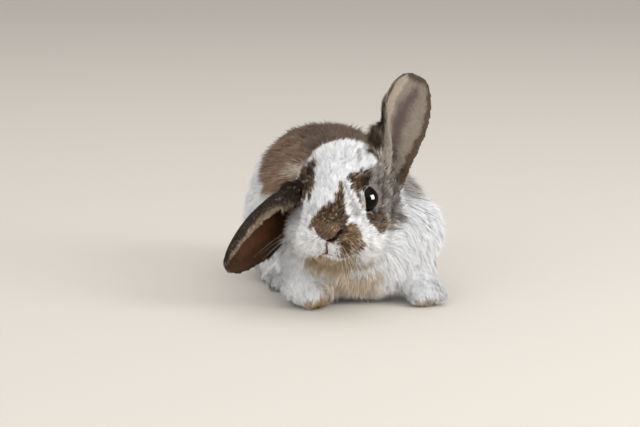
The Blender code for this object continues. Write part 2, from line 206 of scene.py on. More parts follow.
@dataclass(frozen=True)
class EarShape:
    """One ear as a cupped leaf on a bent axis, the same surface that its solid was made from.

    Along it s runs from 0 at the root to 1 at the tip, and round it t runs from 0 at the plain
    edge to 1 at the edge that folds over.
    """

    name: str
    axis: tuple[Triple, Triple, Triple]
    facing: tuple[Triple, Triple]
    inner_side: int
    width: float
    root_share: float
    bend: tuple[float, float]
    fold: tuple[float, float]
    fold_at: float
    thickness: float = 1.35
    rows: int = 84
    columns: int = 44
    buried: float = 0.22  # how far the root runs on into the head, as a share of the length
    buried_rows: int = 11
    crowding: float = 1.35  # how much closer the rows stand towards the tip
    last_row: float = 0.996  # the share of the length at the tip's row, where the width is not yet 0
    level_at: float = 0.4
    widest: float = 0.45
    crease: float = 0.12  # how much of t the fold takes up
    rim_width: float = 3.0  # mm from the edge over which the shell thins
    rim_share: float = 0.72  # its thickness at the very edge

    def width_at(self, share: float) -> float:
        """Find the width round the shell.

        Args:
            share: place along the ear, from 0 at the root to 1 at the tip.

        Returns:
            The width in mm.
        """
        if share <= self.widest:
            eased = float(smoothstep(0.0, self.widest, np.float64(share)))
            return self.width * (self.root_share + (1 - self.root_share) * eased)
        return self.width * math.sqrt(max(0.0, 1 - ((share - self.widest) / (1 - self.widest)) ** 2))

    def section(self, share: float) -> Array:
        """Bend and fold the cross-section.

        Args:
            share: place along the ear, from 0 at the root to 1 at the tip.

        Returns:
            Rows of (across, forward) in mm, from t = 0 to t = 1.
        """
        eased = float(smoothstep(0.0, 0.7, np.float64(share)))
        bend = math.radians(lerp(*self.bend, eased))
        fold = math.radians(lerp(*self.fold, eased))
        middle = (np.arange(self.columns) + 0.5) / self.columns

        def angle(t: Array) -> Array:
            """Give the shell's heading at t."""
            return bend * t + fold * 0.5 * (1 + np.tanh((t - self.fold_at) / self.crease))

        heading = angle(middle) - angle(np.float64(self.level_at))
        steps = np.stack([np.cos(heading), np.sin(heading)], axis=1) * self.width_at(share) / self.columns
        curve = np.vstack([np.zeros(2), np.cumsum(steps, axis=0)])
        return curve - curve[round(self.level_at * self.columns)]

    def surface(self) -> tuple[Array, Array, Array]:
        """Lay out the ear's middle surface.

        Returns:
            Places (row, column, 3), normals towards the hollow of the cup, and s of each row.
        """
        root, middle, tip = (np.array(point) + HEAD.shift() for point in self.axis)
        share = np.minimum(1 - (1 - np.linspace(0, 1, self.rows)) ** self.crowding, self.last_row)
        share = np.concatenate([np.linspace(-self.buried, 0, self.buried_rows + 1)[:-1], share])
        places, normals = [], []
        for s in share:
            point = root * (1 - s) ** 2 + middle * 2 * s * (1 - s) + tip * s * s
            along = unit((middle - root) * (1 - s) + (tip - middle) * s)
            front = lerp(np.array(self.facing[0]), np.array(self.facing[1]), max(s, 0.0))
            front = unit(front - along * (front @ along))
            across = unit(np.cross(along, front)) * self.inner_side
            curve = self.section(max(s, 0.0))
            places.append(point + curve[:, :1] * across + curve[:, 1:] * front)
            tangent = np.gradient(curve, axis=0)
            normals.append(unit(-tangent[:, 1:] * across + tangent[:, :1] * front))
        return np.array(places), np.array(normals), share

    def solid(self) -> tuple[Array, Array]:
        """Give the ear's flesh as a closed shell, thin at its rim.

        Returns:
            Vertices in mm and quads.
        """
        places, normals, share = self.surface()
        rows, columns = places.shape[:2]
        t = np.linspace(0, 1, columns)
        edge = np.minimum(np.minimum(t, 1 - t) * self.width, self.rim_width) / self.rim_width
        taper = np.minimum((1 - share) * 22.0, 1.0)[:, None] * np.ones(columns)
        fullness = np.sqrt(np.minimum(edge[None, :], taper))
        half = (self.thickness / 2 * (self.rim_share + (1 - self.rim_share) * fullness))[..., None]
        front, back = places + normals * half, places - normals * half
        vertices = np.concatenate([front.reshape(-1, 3), back.reshape(-1, 3)])
        index = np.arange(rows * columns).reshape(rows, columns)
        far = index + rows * columns

        def sheet(grid: Array) -> Array:
            """Join a grid of vertices with quads."""
            around = [grid[:-1, :-1], grid[1:, :-1], grid[1:, 1:], grid[:-1, 1:]]
            return np.stack(around, axis=-1).reshape(-1, 4)

        def strip(one: Array, other: Array) -> Array:
            """Join two lines of vertices with quads."""
            return np.stack([one[:-1], one[1:], other[1:], other[:-1]], axis=-1)

        quads = np.concatenate(
            [
                sheet(index),
                sheet(far)[:, ::-1],
                strip(index[0], far[0]),
                strip(far[-1], index[-1]),
                strip(far[:, 0], index[:, 0]),
                strip(index[:, -1], far[:, -1]),
            ]
        )
        first = vertices[quads[0]]
        if np.cross(first[1] - first[0], first[3] - first[0]) @ normals[0, 0] < 0:
            quads = quads[:, ::-1]
        return vertices, quads


HEAD = HeadPose()
LEFT_EAR = EarShape(
    name="left_ear",
    axis=((11.0, 5.0, 63.0), (23.4, 14.0, 87.5), (35.6, 27.0, 112.7)),
    facing=((0.3, -0.9, 0.1), (-0.05, -1.0, 0.3)),
    inner_side=-1,
    width=32.0,
    root_share=0.86,
    widest=0.54,
    bend=(150.0, 60.0),
    fold=(55.0, 25.0),
    fold_at=0.72,
)
RIGHT_EAR = EarShape(
    name="right_ear",
    axis=((-25.0, 27.0, 53.5), (-50.5, 12.0, 44.5), (-70.5, -1.0, 21.5)),
    facing=((0.16, -0.94, -0.29), (0.16, -0.94, -0.29)),
    inner_side=1,
    width=40.0,
    root_share=0.95,
    bend=(60.0, 45.0),
    fold=(110.0, 95.0),
    fold_at=0.76,
)


# ---------------------------------------------------------------- mesh helpers


def new_mesh(name: str, vertices: Array, faces: Array, scale: float = 1.0) -> bpy.types.Mesh:
    """Make a mesh from arrays.

    Args:
        name: the mesh's name.
        vertices: places.
        faces: vertex numbers, one row for each face, all with as many corners.
        scale: multiplies the places.

    Returns:
        The mesh.
    """
    mesh = bpy.data.meshes.new(name)
    mesh.vertices.add(len(vertices))
    mesh.vertices.foreach_set("co", np.ascontiguousarray(vertices * scale, dtype=np.float32).ravel())
    mesh.loops.add(faces.size)
    mesh.loops.foreach_set("vertex_index", np.ascontiguousarray(faces, dtype=np.int32).ravel())
    mesh.polygons.add(len(faces))
    mesh.polygons.foreach_set("loop_start", np.arange(0, faces.size, faces.shape[1], dtype=np.int32))
    mesh.update(calc_edges=True)
    return mesh


def new_object(name: str, mesh: bpy.types.Mesh) -> bpy.types.Object:
    """Put a mesh in the scene at the origin.

    Args:
        name: the object's name.
        mesh: its mesh.

    Returns:
        The object.
    """
    made = bpy.data.objects.new(name, mesh)
    bpy.context.scene.collection.objects.link(made)
    return made


def baked(obj: bpy.types.Object) -> bpy.types.Mesh:
    """Give the object's mesh with its modifiers applied."""
    return bpy.data.meshes.new_from_object(obj.evaluated_get(bpy.context.evaluated_depsgraph_get()))


def shade_smooth(mesh: bpy.types.Mesh) -> None:
    """Shade all faces of a mesh smoothly."""
    mesh.polygons.foreach_set("use_smooth", np.ones(len(mesh.polygons), dtype=bool))


def finished(
    name: str, mesh: bpy.types.Mesh, material: bpy.types.Material | None
) -> bpy.types.Object:
    """Make a piece of the rabbit: smooth, dressed, and riding on the rabbit's body.

    Args:
        name: the piece's name.
        mesh: its mesh.
        material: its finish, or None where the mesh has it already.

    Returns:
        The piece.
    """
    shade_smooth(mesh)
    made = new_object(name, mesh)
    if material:
        mesh.materials.append(material)
    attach(made, BODY)
    return made


def paint_points(mesh: bpy.types.Mesh, name: str, colours: Array) -> None:
    """Store a linear colour for each vertex.

    Args:
        mesh: the mesh to paint.
        name: the attribute that the material reads.
        colours: one row of red, green and blue for each vertex.
    """
    layer = mesh.color_attributes.new(name, "FLOAT_COLOR", "POINT")
    rows = np.ones((len(colours), 4), dtype=np.float32)
    rows[:, :3] = colours
    layer.data.foreach_set("color", rows.ravel())


def fused(vertices: Array, faces: Array, voxel: float, smoothing: int) -> tuple[Array, Array]:
    """Fuse overlapping closed bodies to one outer surface.

    Args:
        vertices: places in mm.
        faces: triangles or quads.
        voxel: size of the new faces in mm.
        smoothing: rounds of smoothing after it.

    Returns:
        Vertices in mm and quads of the largest body.
    """
    temporary = new_object("temporary", new_mesh("temporary", vertices, faces))
    remesh = temporary.modifiers.new("fuse", "REMESH")
    remesh.mode = "VOXEL"
    remesh.voxel_size = voxel
    if smoothing:
        smooth = temporary.modifiers.new("smooth", "SMOOTH")
        smooth.factor = 0.5
        smooth.iterations = smoothing
    mesh = baked(temporary)
    places, quads = mesh_arrays(mesh)
    bpy.data.objects.remove(temporary)
    return largest_body(places, quads)


def mesh_arrays(mesh: bpy.types.Mesh) -> tuple[Array, Array]:
    """Read a mesh whose faces all have as many corners as each other.

    Args:
        mesh: the mesh.

    Returns:
        Its places and its faces.
    """
    places = np.empty(len(mesh.vertices) * 3)
    mesh.vertices.foreach_get("co", places)
    corners = np.empty(len(mesh.loops), dtype=np.int64)
    mesh.loops.foreach_get("vertex_index", corners)
    sides = len(corners) // len(mesh.polygons)
    return places.reshape(-1, 3), corners.reshape(-1, sides)


def surface_tree(vertices: Array, faces: Array) -> BVHTree:
    """Make a tree that finds the nearest place on a surface."""
    return BVHTree.FromPolygons(vertices.tolist(), faces.tolist())


def face_edges(faces: Array) -> Array:
    """List each edge of the faces once."""
    pairs = np.stack([faces, np.roll(faces, -1, axis=1)], axis=-1).reshape(-1, 2)
    return np.unique(np.sort(pairs, axis=1), axis=0)


def largest_body(vertices: Array, faces: Array) -> tuple[Array, Array]:
    """Keep only the body with the most vertices.

    Args:
        vertices: places.
        faces: faces, which may form several separate bodies.

    Returns:
        Vertices and faces of that body.
    """
    edges = face_edges(faces)
    label = np.arange(len(vertices))
    while True:
        low = label.copy()
        np.minimum.at(low, edges[:, 0], label[edges[:, 1]])
        np.minimum.at(low, edges[:, 1], label[edges[:, 0]])
        low = low[low]
        if np.array_equal(low, label):
            break
        label = low
    kept = label == np.bincount(label).argmax()
    renumber = np.cumsum(kept) - 1
    return vertices[kept], renumber[faces[kept[faces[:, 0]]]]


def vertex_normals(vertices: Array, faces: Array) -> Array:
    """Average the directions that faces point in.

    Args:
        vertices: places.
        faces: triangles or quads.

    Returns:
        One direction for each vertex.
    """
    corners = [vertices[faces[:, corner]] for corner in range(faces.shape[1])]
    if len(corners) == 4:
        across = np.cross(corners[2] - corners[0], corners[3] - corners[1])
    else:
        across = np.cross(corners[1] - corners[0], corners[2] - corners[0])
    total = np.zeros_like(vertices)
    for corner in range(faces.shape[1]):
        for axis in range(3):
            total[:, axis] += np.bincount(faces[:, corner], across[:, axis], len(vertices))
    return unit(total)


def spread(values: Array, edges: Array, rounds: int) -> Array:
    """Smooth values over a mesh by averaging each vertex with its neighbours.

    Args:
        values: one row or number for each vertex.
        edges: the mesh's edges.
        rounds: how many times to do it.

    Returns:
        The smoothed values.
    """
    flat = values.reshape(len(values), -1).astype(float)
    count = np.bincount(edges.ravel(), minlength=len(flat))[:, None] + 1.0
    for _ in range(rounds):
        total = flat.copy()
        for column in range(flat.shape[1]):
            for here, there in ((0, 1), (1, 0)):
                total[:, column] += np.bincount(edges[:, here], flat[edges[:, there], column], len(flat))
        flat = total / count
    return flat.reshape(values.shape)


# ---------------------------------------------------------------- colours of the coat


class Hair(Enum):
    """The coat's display colours at root, middle and tip, and how much locks of it differ."""

    # the darker roots are partly the hairs' own banding and partly painted shade deep in the coat
    WHITE = ((186, 185, 185), (226, 227, 228), (243, 244, 245), 0.14)
    BODY_WHITE = ((206, 206, 206), (226, 227, 228), (237, 238, 240), 0.05)
    # painted shade: the warm beige of the chest below the chin, as from light bounced off brown ground
    WARM_WHITE = ((150, 131, 108), (192, 174, 152), (216, 202, 184), 0.10)
    SILVER = ((112, 108, 106), (164, 162, 160), (206, 206, 206), 0.24)
    DARK_BROWN = ((18, 12, 8), (50, 36, 25), (112, 87, 63), 0.66)
    UMBER = ((36, 24, 15), (76, 54, 36), (114, 88, 62), 0.40)
    GOLD = ((44, 31, 19), (98, 75, 50), (148, 122, 88), 0.42)
    BROW = ((14, 9, 6), (40, 28, 19), (98, 76, 55), 0.72)
    NOSE_TAN = ((50, 37, 27), (100, 80, 61), (132, 109, 86), 0.24)
    BROWN = ((38, 28, 21), (80, 63, 50), (118, 98, 82), 0.36)
    GREY = ((48, 44, 42), (100, 96, 92), (143, 139, 134), 0.44)
    SADDLE = ((46, 36, 30), (84, 68, 57), (108, 89, 76), 0.12)
    RUST = ((62, 46, 35), (118, 93, 73), (142, 117, 97), 0.12)
    BEIGE = ((130, 114, 98), (176, 161, 144), (200, 188, 172), 0.14)
    EAR_BLACK = ((14, 10, 8), (38, 29, 23), (70, 58, 48), 0.50)
    EAR_SMOKE = ((22, 17, 13), (48, 38, 31), (84, 71, 59), 0.50)
    EAR_BROWN = ((36, 27, 20), (74, 59, 45), (102, 84, 66), 0.24)
    # dark brown of the hanging ear's inner face, deepened with painted shade of its hollow
    EAR_DARK = ((34, 21, 11), (64, 40, 22), (84, 56, 33), 0.16)
    EAR_RUST = ((56, 34, 19), (92, 60, 36), (112, 76, 48), 0.14)
    # dark skin of the raised ear's channel, deepened with painted shade of that groove
    EAR_MAUVE = ((56, 45, 43), (80, 65, 62), (94, 79, 75), 0.10)
    EAR_GREY = ((92, 85, 76), (124, 116, 105), (142, 135, 124), 0.12)
    EAR_RIM = ((84, 69, 55), (130, 112, 93), (158, 141, 122), 0.22)
    CREAM = ((128, 117, 103), (164, 153, 139), (184, 174, 161), 0.10)
    # tan stains of the paws, darkened with painted shade where they meet the floor
    STAIN = ((112, 84, 52), (166, 136, 94), (194, 168, 128), 0.12)
    # painted shade under the chin and jaw, warm as from light bounced off brown ground
    CHIN = ((132, 112, 84), (176, 154, 122), (200, 182, 152), 0.10)
    ASH = ((132, 128, 124), (160, 156, 151), (180, 176, 171), 0.08)

    @property
    def tones(self) -> tuple[Array, Array, Array]:
        """Give the linear colours at the root, the middle and the tip."""
        return tuple(rgb(*tone) for tone in self.value[:3])

    @property
    def variety(self) -> float:
        """Give how much the shade differs from lock to lock."""
        return self.value[3]


PATCH_SWELL = 7.0  # mm between the swells in the edge of a patch
BLANKET_SWELL = 16.0  # and in the edge of a blanket


@dataclass(frozen=True)
class Patch:
    """A marking: a row of balls, as places and radii, joined to one bar with a soft edge."""

    hair: Hair
    path: tuple[tuple[float, float, float, float], ...]
    soft: float = 1.2
    ragged: float = 0.8

    def share(self, points: Array) -> Array:
        """Find how much places belong to the patch.

        Args:
            points: places in mm.

        Returns:
            A share of 0 to 1 for each place.
        """
        edge = np.full(len(points), np.inf)
        rows = np.array(self.path)
        for start, end in zip(rows, rows[1:]):
            run = end[:3] - start[:3]
            along = np.clip((points - start[:3]) @ run / max(run @ run, 1e-9), 0.0, 1.0)
            away = np.linalg.norm(points - start[:3] - along[:, None] * run, axis=1)
            edge = np.minimum(edge, away - lerp(start[3], end[3], along))
        edge = edge + self.ragged * waves(points, PATCH_SWELL, 11)
        return smoothstep(self.soft, -self.soft, edge)


FACE_MARKS = (
    # greyer streaks in the white of the crown and beside the bridge of the nose; the crown's streak is
    # painted shade between its locks
    Patch(Hair.SILVER, ((7.2, 10.0, 21.6, 1.3), (9.4, 1.5, 18.4, 1.0)), 0.9, 0.5),
    Patch(Hair.BEIGE, ((-17.0, 14.0, 15.5, 3.2), (-12.0, 20.0, 20.0, 3.2)), 2.6, 1.2),
    Patch(
        Hair.SILVER,
        ((4.9, -11.0, 12.4, 1.0), (9.5, -15.1, 5.7, 1.9), (11.3, -16.6, 0.4, 2.6), (15.0, -11.6, -4.4, 1.3)),
        1.4,
        0.5,
    ),
    # grey cheeks and temples, both sides
    Patch(Hair.GREY, ((23.0, 14.0, 8.0, 12.0), (24.5, 13.0, -9.0, 9.5)), 2.2, 1.2),
    Patch(Hair.GREY, ((19.0, 5.0, 12.0, 5.0), (20.5, 3.0, -6.0, 6.0)), 1.8, 1.0),
    Patch(Hair.GREY, ((-24.0, 16.0, 8.0, 11.0), (-26.0, 14.0, -6.0, 8.0)), 2.4, 1.5),
    Patch(Hair.GREY, ((15.4, 5.0, 14.6, 2.6), (16.6, 2.4, 10.0, 2.2)), 1.0, 0.4),
    Patch(Hair.BEIGE, ((24.5, 9.5, -11.5, 2.2), (24.5, 8.5, -15.0, 2.4)), 2.2, 0.8),
    # brown below the left eye
    Patch(
        Hair.BROWN,
        ((16.8, -4.0, -5.4, 2.8), (19.4, -0.6, -9.0, 4.8), (20.4, -0.4, -13.0, 4.2), (22.0, 4.5, -13.5, 3.4)),
        1.3,
        0.7,
    ),
    # brown in front of and over the left eye, with a pale ring before the lids
    Patch(Hair.BROW, ((9.4, -6.6, 12.2, 3.5), (12.6, -0.4, 12.2, 4.6)), 1.1, 0.7),
    Patch(Hair.BROW, ((9.8, -9.0, 9.8, 1.9), (13.4, -4.4, 8.6, 2.8)), 0.9, 0.5),
    Patch(Hair.BROWN, ((10.4, -9.8, 8.6, 1.7), (12.3, -10.4, 4.4, 1.5), (13.8, -10.8, -0.4, 0.7)), 0.8, 0.3),
    Patch(Hair.BEIGE, ((13.9, -7.4, 6.2, 1.1), (14.4, -8.4, 2.6, 1.6), (14.9, -8.6, -1.6, 1.1)), 0.7, 0.3),
    # brown stripe from the right ear to the right eye, black about that eye; the black patch's lower part,
    # below the ear's root, is painted shadow of that root
    Patch(
        Hair.EAR_BLACK,
        ((-20.5, 8.0, 7.5, 4.0), (-20.5, 0.0, -0.5, 3.8), (-19.5, -3.5, -5.0, 2.4)),
        1.2,
        0.6,
    ),
    Patch(Hair.UMBER, ((-18.8, 6.0, 9.6, 3.0), (-16.8, -3.0, 5.2, 3.2), (-16.2, -6.5, 0.4, 2.8)), 1.3, 0.7),
    Patch(
        Hair.BROW,
        (
            (-15.2, 6.7, 12.6, 3.0),
            (-13.0, -2.0, 9.0, 3.3),
            (-12.0, -10.0, 5.8, 3.1),
            (-11.6, -14.0, 2.6, 1.8),
        ),
        1.2,
        0.8,
    ),
    Patch(Hair.GOLD, ((-11.2, -3.0, 9.8, 1.3), (-9.8, -12.0, 5.6, 1.5)), 1.1, 0.6),
    # blaze down the bridge of the nose
    Patch(
        Hair.DARK_BROWN,
        (
            (3.2, -11.2, 12.8, 0.5),
            (4.3, -13.6, 10.6, 1.4),
            (4.5, -16.9, 8.2, 2.2),
            (4.4, -19.9, 4.7, 3.2),
            (4.0, -22.5, 1.4, 4.7),
            (4.0, -24.5, -1.4, 5.8),
            (1.4, -26.8, -2.4, 5.2),
        ),
        0.9,
        0.6,
    ),
    Patch(
        Hair.DARK_BROWN,
        ((2.0, -19.6, 5.6, 0.8), (0.4, -22.6, 3.0, 1.8), (-1.2, -25.2, 0.0, 3.2)),
        0.9,
        0.5,
    ),
    # the golden left whisker pad, darker low down, and the fringe right of the nose
    Patch(Hair.GOLD, ((12.0, -23.5, -9.6, 5.6), (12.2, -19.4, -16.8, 7.6)), 1.2, 0.7),
    Patch(Hair.GOLD, ((9.2, -27.6, -10.4, 3.4), (9.8, -27.0, -15.6, 3.9)), 0.9, 0.5),
    Patch(Hair.UMBER, ((11.2, -28.2, -14.8, 2.4), (9.6, -24.0, -20.6, 3.2)), 1.4, 0.6),
    Patch(Hair.UMBER, ((-3.4, -26.6, -1.4, 2.6), (-5.0, -27.4, -4.4, 2.8)), 1.2, 0.5),
    Patch(Hair.GOLD, ((-6.6, -26.0, -3.2, 1.7), (-7.6, -27.6, -6.8, 1.8)), 1.5, 0.5),
    Patch(Hair.GOLD, ((8.4, -26.8, -8.8, 1.7), (4.8, -29.8, -12.2, 1.3)), 0.6, 0.2),
    # dark brown between the nose and the left whisker pad, deepened with painted shade in the crease between
    # them
    Patch(
        Hair.DARK_BROWN,
        ((8.4, -23.0, -1.2, 2.4), (8.9, -25.8, -5.4, 1.8), (9.1, -26.3, -7.2, 1.7)),
        0.8,
        0.4,
    ),
    Patch(
        Hair.NOSE_TAN,
        ((-1.7, -29.6, -5.9, 3.5), (1.6, -30.4, -7.0, 3.9), (4.7, -28.8, -5.8, 3.4)),
        0.8,
        0.3,
    ),
    Patch(Hair.GOLD, ((6.4, -29.0, -13.6, 1.6), (7.8, -27.0, -18.8, 2.6)), 0.8, 0.3),
    Patch(
        Hair.WHITE,
        ((2.4, -29.2, -13.6, 0.8), (3.2, -27.2, -18.4, 0.9), (5.6, -24.4, -23.0, 0.9)),
        0.6,
        0.3,
    ),
    # whisker roots
    Patch(Hair.EAR_BLACK, ((-3.3, -31.0, -10.4, 0.5), (-3.4, -31.0, -10.5, 0.5)), 0.25, 0.0),
    Patch(Hair.EAR_BLACK, ((-1.9, -31.2, -11.4, 0.4), (-2.0, -31.2, -11.5, 0.4)), 0.25, 0.0),
    # chin and lower jaw: painted shade under the jaw, warm as from light bounced off brown ground
    Patch(
        Hair.CHIN,
        ((-6.0, -24.0, -25.4, 3.0), (0.8, -26.0, -25.4, 4.0), (5.0, -23.6, -26.6, 3.0)),
        1.2,
        0.5,
    ),
    Patch(
        Hair.CHIN,
        ((-8.0, -16.0, -27.0, 5.0), (1.4, -20.0, -27.5, 5.6), (9.0, -13.0, -28.0, 5.0)),
        2.6,
        0.8,
    ),
    Patch(Hair.CHIN, ((-8.0, -6.0, -32.0, 7.0), (6.0, -6.0, -32.0, 6.0)), 3.0, 0.8),
)

BODY_MARKS = (
    Patch(Hair.GREY, ((16.0, 5.0, 49.0, 4.5), (17.5, 4.5, 44.0, 3.8)), 1.8, 1.0),
    Patch(Hair.BEIGE, ((14.0, 1.5, 41.5, 3.2), (16.0, 3.0, 38.0, 2.6)), 2.4, 1.0),
    Patch(
        Hair.BEIGE,
        ((-28.0, 42.0, 64.0, 4.5), (-23.0, 32.0, 67.5, 7.0), (-26.0, 18.0, 65.0, 6.0)),
        4.0,
        1.5,
    ),
    # painted warm shade on the chest below the chin
    Patch(Hair.WARM_WHITE, ((-10.0, -8.0, 24.0, 14.0), (-6.0, -8.0, 6.0, 15.0)), 9.0, 2.0),
    # painted shade on the chest under the chin
    Patch(Hair.CHIN, ((-25.0, 3.0, 23.0, 5.0), (-12.0, -1.0, 23.0, 6.0)), 4.5, 1.5),
    # forepaws' lower edges: tan stains, with painted shade next to the floor
    Patch(Hair.STAIN, ((-33.0, -8.0, 0.6, 3.2), (-24.0, -8.0, 1.4, 4.2), (-15.0, -5.0, 2.0, 4.8)), 2.4, 1.0),
    Patch(Hair.STAIN, ((22.0, -14.5, 0.5, 3.8), (32.0, -14.5, 0.5, 4.2)), 2.2, 0.8),
    Patch(Hair.SADDLE, ((-0.7, 116.0, 46.0, 9.0), (-0.7, 128.0, 30.0, 6.0)), 3.0, 1.5),
)


@dataclass(frozen=True)
class Blanket:
    """The large marking over the back: an egg-shaped region in the row frame."""

    hair: Hair
    centre: Triple
    radii: Triple
    soft: float = 0.05
    ragged: float = 0.08

    def share(self, points: Array) -> Array:
        """Say how much each place belongs to the blanket, from 0 to 1."""
        reach = np.linalg.norm((points - np.array(self.centre)) / np.array(self.radii), axis=1)
        ragged = self.ragged * waves(points, BLANKET_SWELL, 23)
        return smoothstep(1 + self.soft, 1 - self.soft, reach + ragged)


BLANKETS = (
    Blanket(Hair.BODY_WHITE, (0.0, 50.0, 40.0), (900.0, 900.0, 900.0)),
    Blanket(Hair.SADDLE, (1.0, 84.0, 86.0), (30.5, 74.0, 31.0), 0.1),
    Blanket(Hair.RUST, (-22.0, 53.0, 62.0), (18.5, 38.0, 22.0), 0.12, 0.08),
    Blanket(Hair.ASH, (34.0, 26.0, 70.0), (28.0, 32.0, 20.0), 0.35, 0.1),
    Blanket(Hair.SADDLE, (12.0, 50.0, 86.0), (34.0, 44.0, 24.0)),
)


@dataclass(frozen=True)
class EarBand:
    """A marking on one side of an ear, as rows of s and the two values of t it lies between."""

    hair: Hair
    rows: tuple[Triple, ...]
    inside: bool = True
    soft: float = 0.05
    end_soft: float = 0.05

    def share(self, s: Array, t: Array, inside: Array, ragged: Array) -> Array:
        """Find how much places belong to the band.

        Args:
            s: place along the ear of each.
            t: place round the ear of each.
            inside: 1 on the ear's inner face, -1 on its outer.
            ragged: a smooth random value for each, which moves the band's edges.

        Returns:
            A share of 0 to 1 for each place.
        """
        along, low, high = np.array(self.rows).T
        moved, place = t + 0.02 * ragged, s + 0.02 * ragged
        low, high = np.interp(place, along, low), np.interp(place, along, high)
        band = smoothstep(low - self.soft, low + self.soft, moved)
        band = band * smoothstep(high + self.soft, high - self.soft, moved)
        ends = smoothstep(along[0] - self.end_soft, along[0] + self.end_soft, place)
        ends = ends * smoothstep(along[-1] + self.end_soft, along[-1] - self.end_soft, place)
        side = smoothstep(-0.3, 0.3, inside if self.inside else -inside)
        return band * ends * side


WHOLE = ((-1.0, -1.0, 2.0), (2.0, -1.0, 2.0))
EAR_BANDS = {
    "left_ear": (
        EarBand(Hair.EAR_BROWN, WHOLE, inside=False),
        EarBand(Hair.CREAM, ((-1.0, 0.8, 2.0), (0.8, 0.8, 2.0)), inside=False),
        EarBand(
            Hair.DARK_BROWN,
            ((-1.0, 0.5, 0.79), (0.36, 0.5, 0.79), (0.46, 0.5, 0.94), (0.56, 0.5, 0.94)),
            inside=False,
        ),
        EarBand(Hair.BEIGE, ((0.0, 0.38, 0.5), (0.42, 0.38, 0.5)), inside=False),
        EarBand(Hair.EAR_GREY, WHOLE),
        EarBand(
            Hair.CREAM,
            ((-1.0, 0.5, 2.0), (0.2, 0.52, 2.0), (0.5, 0.64, 2.0), (0.75, 0.7, 2.0), (0.93, 0.66, 2.0)),
        ),
        # the dark channel: dark skin, deepened with painted shade of the groove between the panels
        EarBand(
            Hair.EAR_MAUVE,
            ((-0.1, 0.3, 0.44), (0.2, 0.31, 0.48), (0.5, 0.37, 0.61), (0.68, 0.36, 0.58), (0.88, 0.28, 0.42)),
            soft=0.12,
        ),
        EarBand(
            Hair.EAR_BROWN,
            ((0.0, -1.0, 0.2), (0.3, -1.0, 0.14), (0.5, -1.0, 0.1), (2.0, -1.0, 0.1)),
            soft=0.03,
        ),
        EarBand(Hair.EAR_BROWN, ((0.5, 0.96, 2.0), (0.8, 0.93, 2.0), (2.0, 0.93, 2.0)), soft=0.02),
        EarBand(Hair.EAR_BROWN, ((0.925, -1.0, 2.0), (2.0, -1.0, 2.0)), soft=0.03),
    ),
    "right_ear": (
        EarBand(Hair.EAR_BLACK, WHOLE, inside=False),
        EarBand(
            Hair.EAR_SMOKE,
            ((0.2, 0.8, 2.0), (0.5, 0.8, 2.0), (0.9, 0.84, 2.0)),
            inside=False,
            soft=0.08,
        ),
        # the inner face: dark brown, deepened with painted shade of the ear's hollow
        EarBand(Hair.EAR_DARK, WHOLE),
        EarBand(Hair.EAR_RUST, ((0.35, 0.3, 0.62), (0.6, 0.22, 0.68), (0.85, 0.3, 0.6)), soft=0.12),
        EarBand(Hair.EAR_RIM, ((0.26, 0.93, 2.0), (0.5, 0.92, 2.0), (0.95, 0.9, 2.0)), soft=0.03),
        EarBand(
            Hair.EAR_RIM,
            ((0.3, 0.96, 2.0), (0.5, 0.93, 2.0), (0.95, 0.92, 2.0)),
            inside=False,
            soft=0.03,
        ),
        EarBand(Hair.EAR_BLACK, ((-1.0, -1.0, 0.05), (2.0, -1.0, 0.05)), soft=0.02),
    ),
}


# ---------------------------------------------------------------- how the coat grows


@dataclass(frozen=True)
class Growth:
    """How hair grows in one region: sizes in mm, degrees, hairs per square mm."""

    length: float
    lift: float  # degrees that it stands off the skin
    width: float
    density: float
    depth: float  # from the solid's surface in to the skin

    def row(self) -> Array:
        """Give the values as one row."""
        return np.array([self.length, self.lift, self.width, self.density, self.depth])


GROWTHS = {
    "head": Growth(3.9, 22, 0.19, 11, 1.7),
    "nose": Growth(1.2, 14, 0.13, 24, 0.6),
    "lower_jaw": Growth(4.0, 22, 0.15, 14, 1.7),
    "left_ear": Growth(2.2, 12, 0.135, 13, 0.4),
    "right_ear": Growth(2.4, 14, 0.135, 13, 0.4),
    "neck": Growth(8.0, 24, 0.22, 6.5, 3.2),
    "chest": Growth(9.0, 22, 0.24, 6.5, 3.2),
    "upper_arm": Growth(8.5, 22, 0.24, 6.5, 3.2),
    "loin": Growth(9.0, 21, 0.26, 5.2, 3.3),
    "rump": Growth(9.0, 21, 0.27, 4.3, 3.3),
    "thigh": Growth(8.5, 21, 0.27, 4.5, 3.2),
    "foreleg": Growth(3.8, 15, 0.19, 9, 1.6),
    "hind_foot": Growth(4.2, 20, 0.2, 8.0, 1.6),
    "tail": Growth(7.5, 28, 0.24, 7.0, 2.8),
    "eye": Growth(1.6, 14, 0.1, 0, 0.0),
}
BASE_TUFT = Growth(9.0, 46, 0.15, 24, 0.4)  # the tuft behind the raised ear
EAR_SHAG = Growth(5.0, 24, 0.15, 13, 0.4)  # the outer side of the hanging ear's root


# The way that the body's hair lies, by node: outwards from the spine, back and up
LIES = {
    "neck": (0.15, 0.8, -0.35),
    "chest": (0.35, 0.25, -1.0),
    "upper_arm": (0.2, 0.35, -1.0),
    "loin": (0.25, 1.0, -0.45),
    "rump": (0.2, 1.0, -0.8),
    "thigh": (0.1, 0.8, -0.8),
    "foreleg": (0.1, -0.75, -0.8),
    "hind_foot": (0.1, -1.0, -0.35),
    "tail": (0.0, 0.25, 1.0),
}


def plain(node: str) -> str:
    """Give a node's name without its side."""
    return node.removeprefix("left_").removeprefix("right_")


def growth_of(node: str) -> Growth:
    """Find a node's growth by its name, or by its name without its side."""
    return GROWTHS.get(node) or GROWTHS[plain(node)]


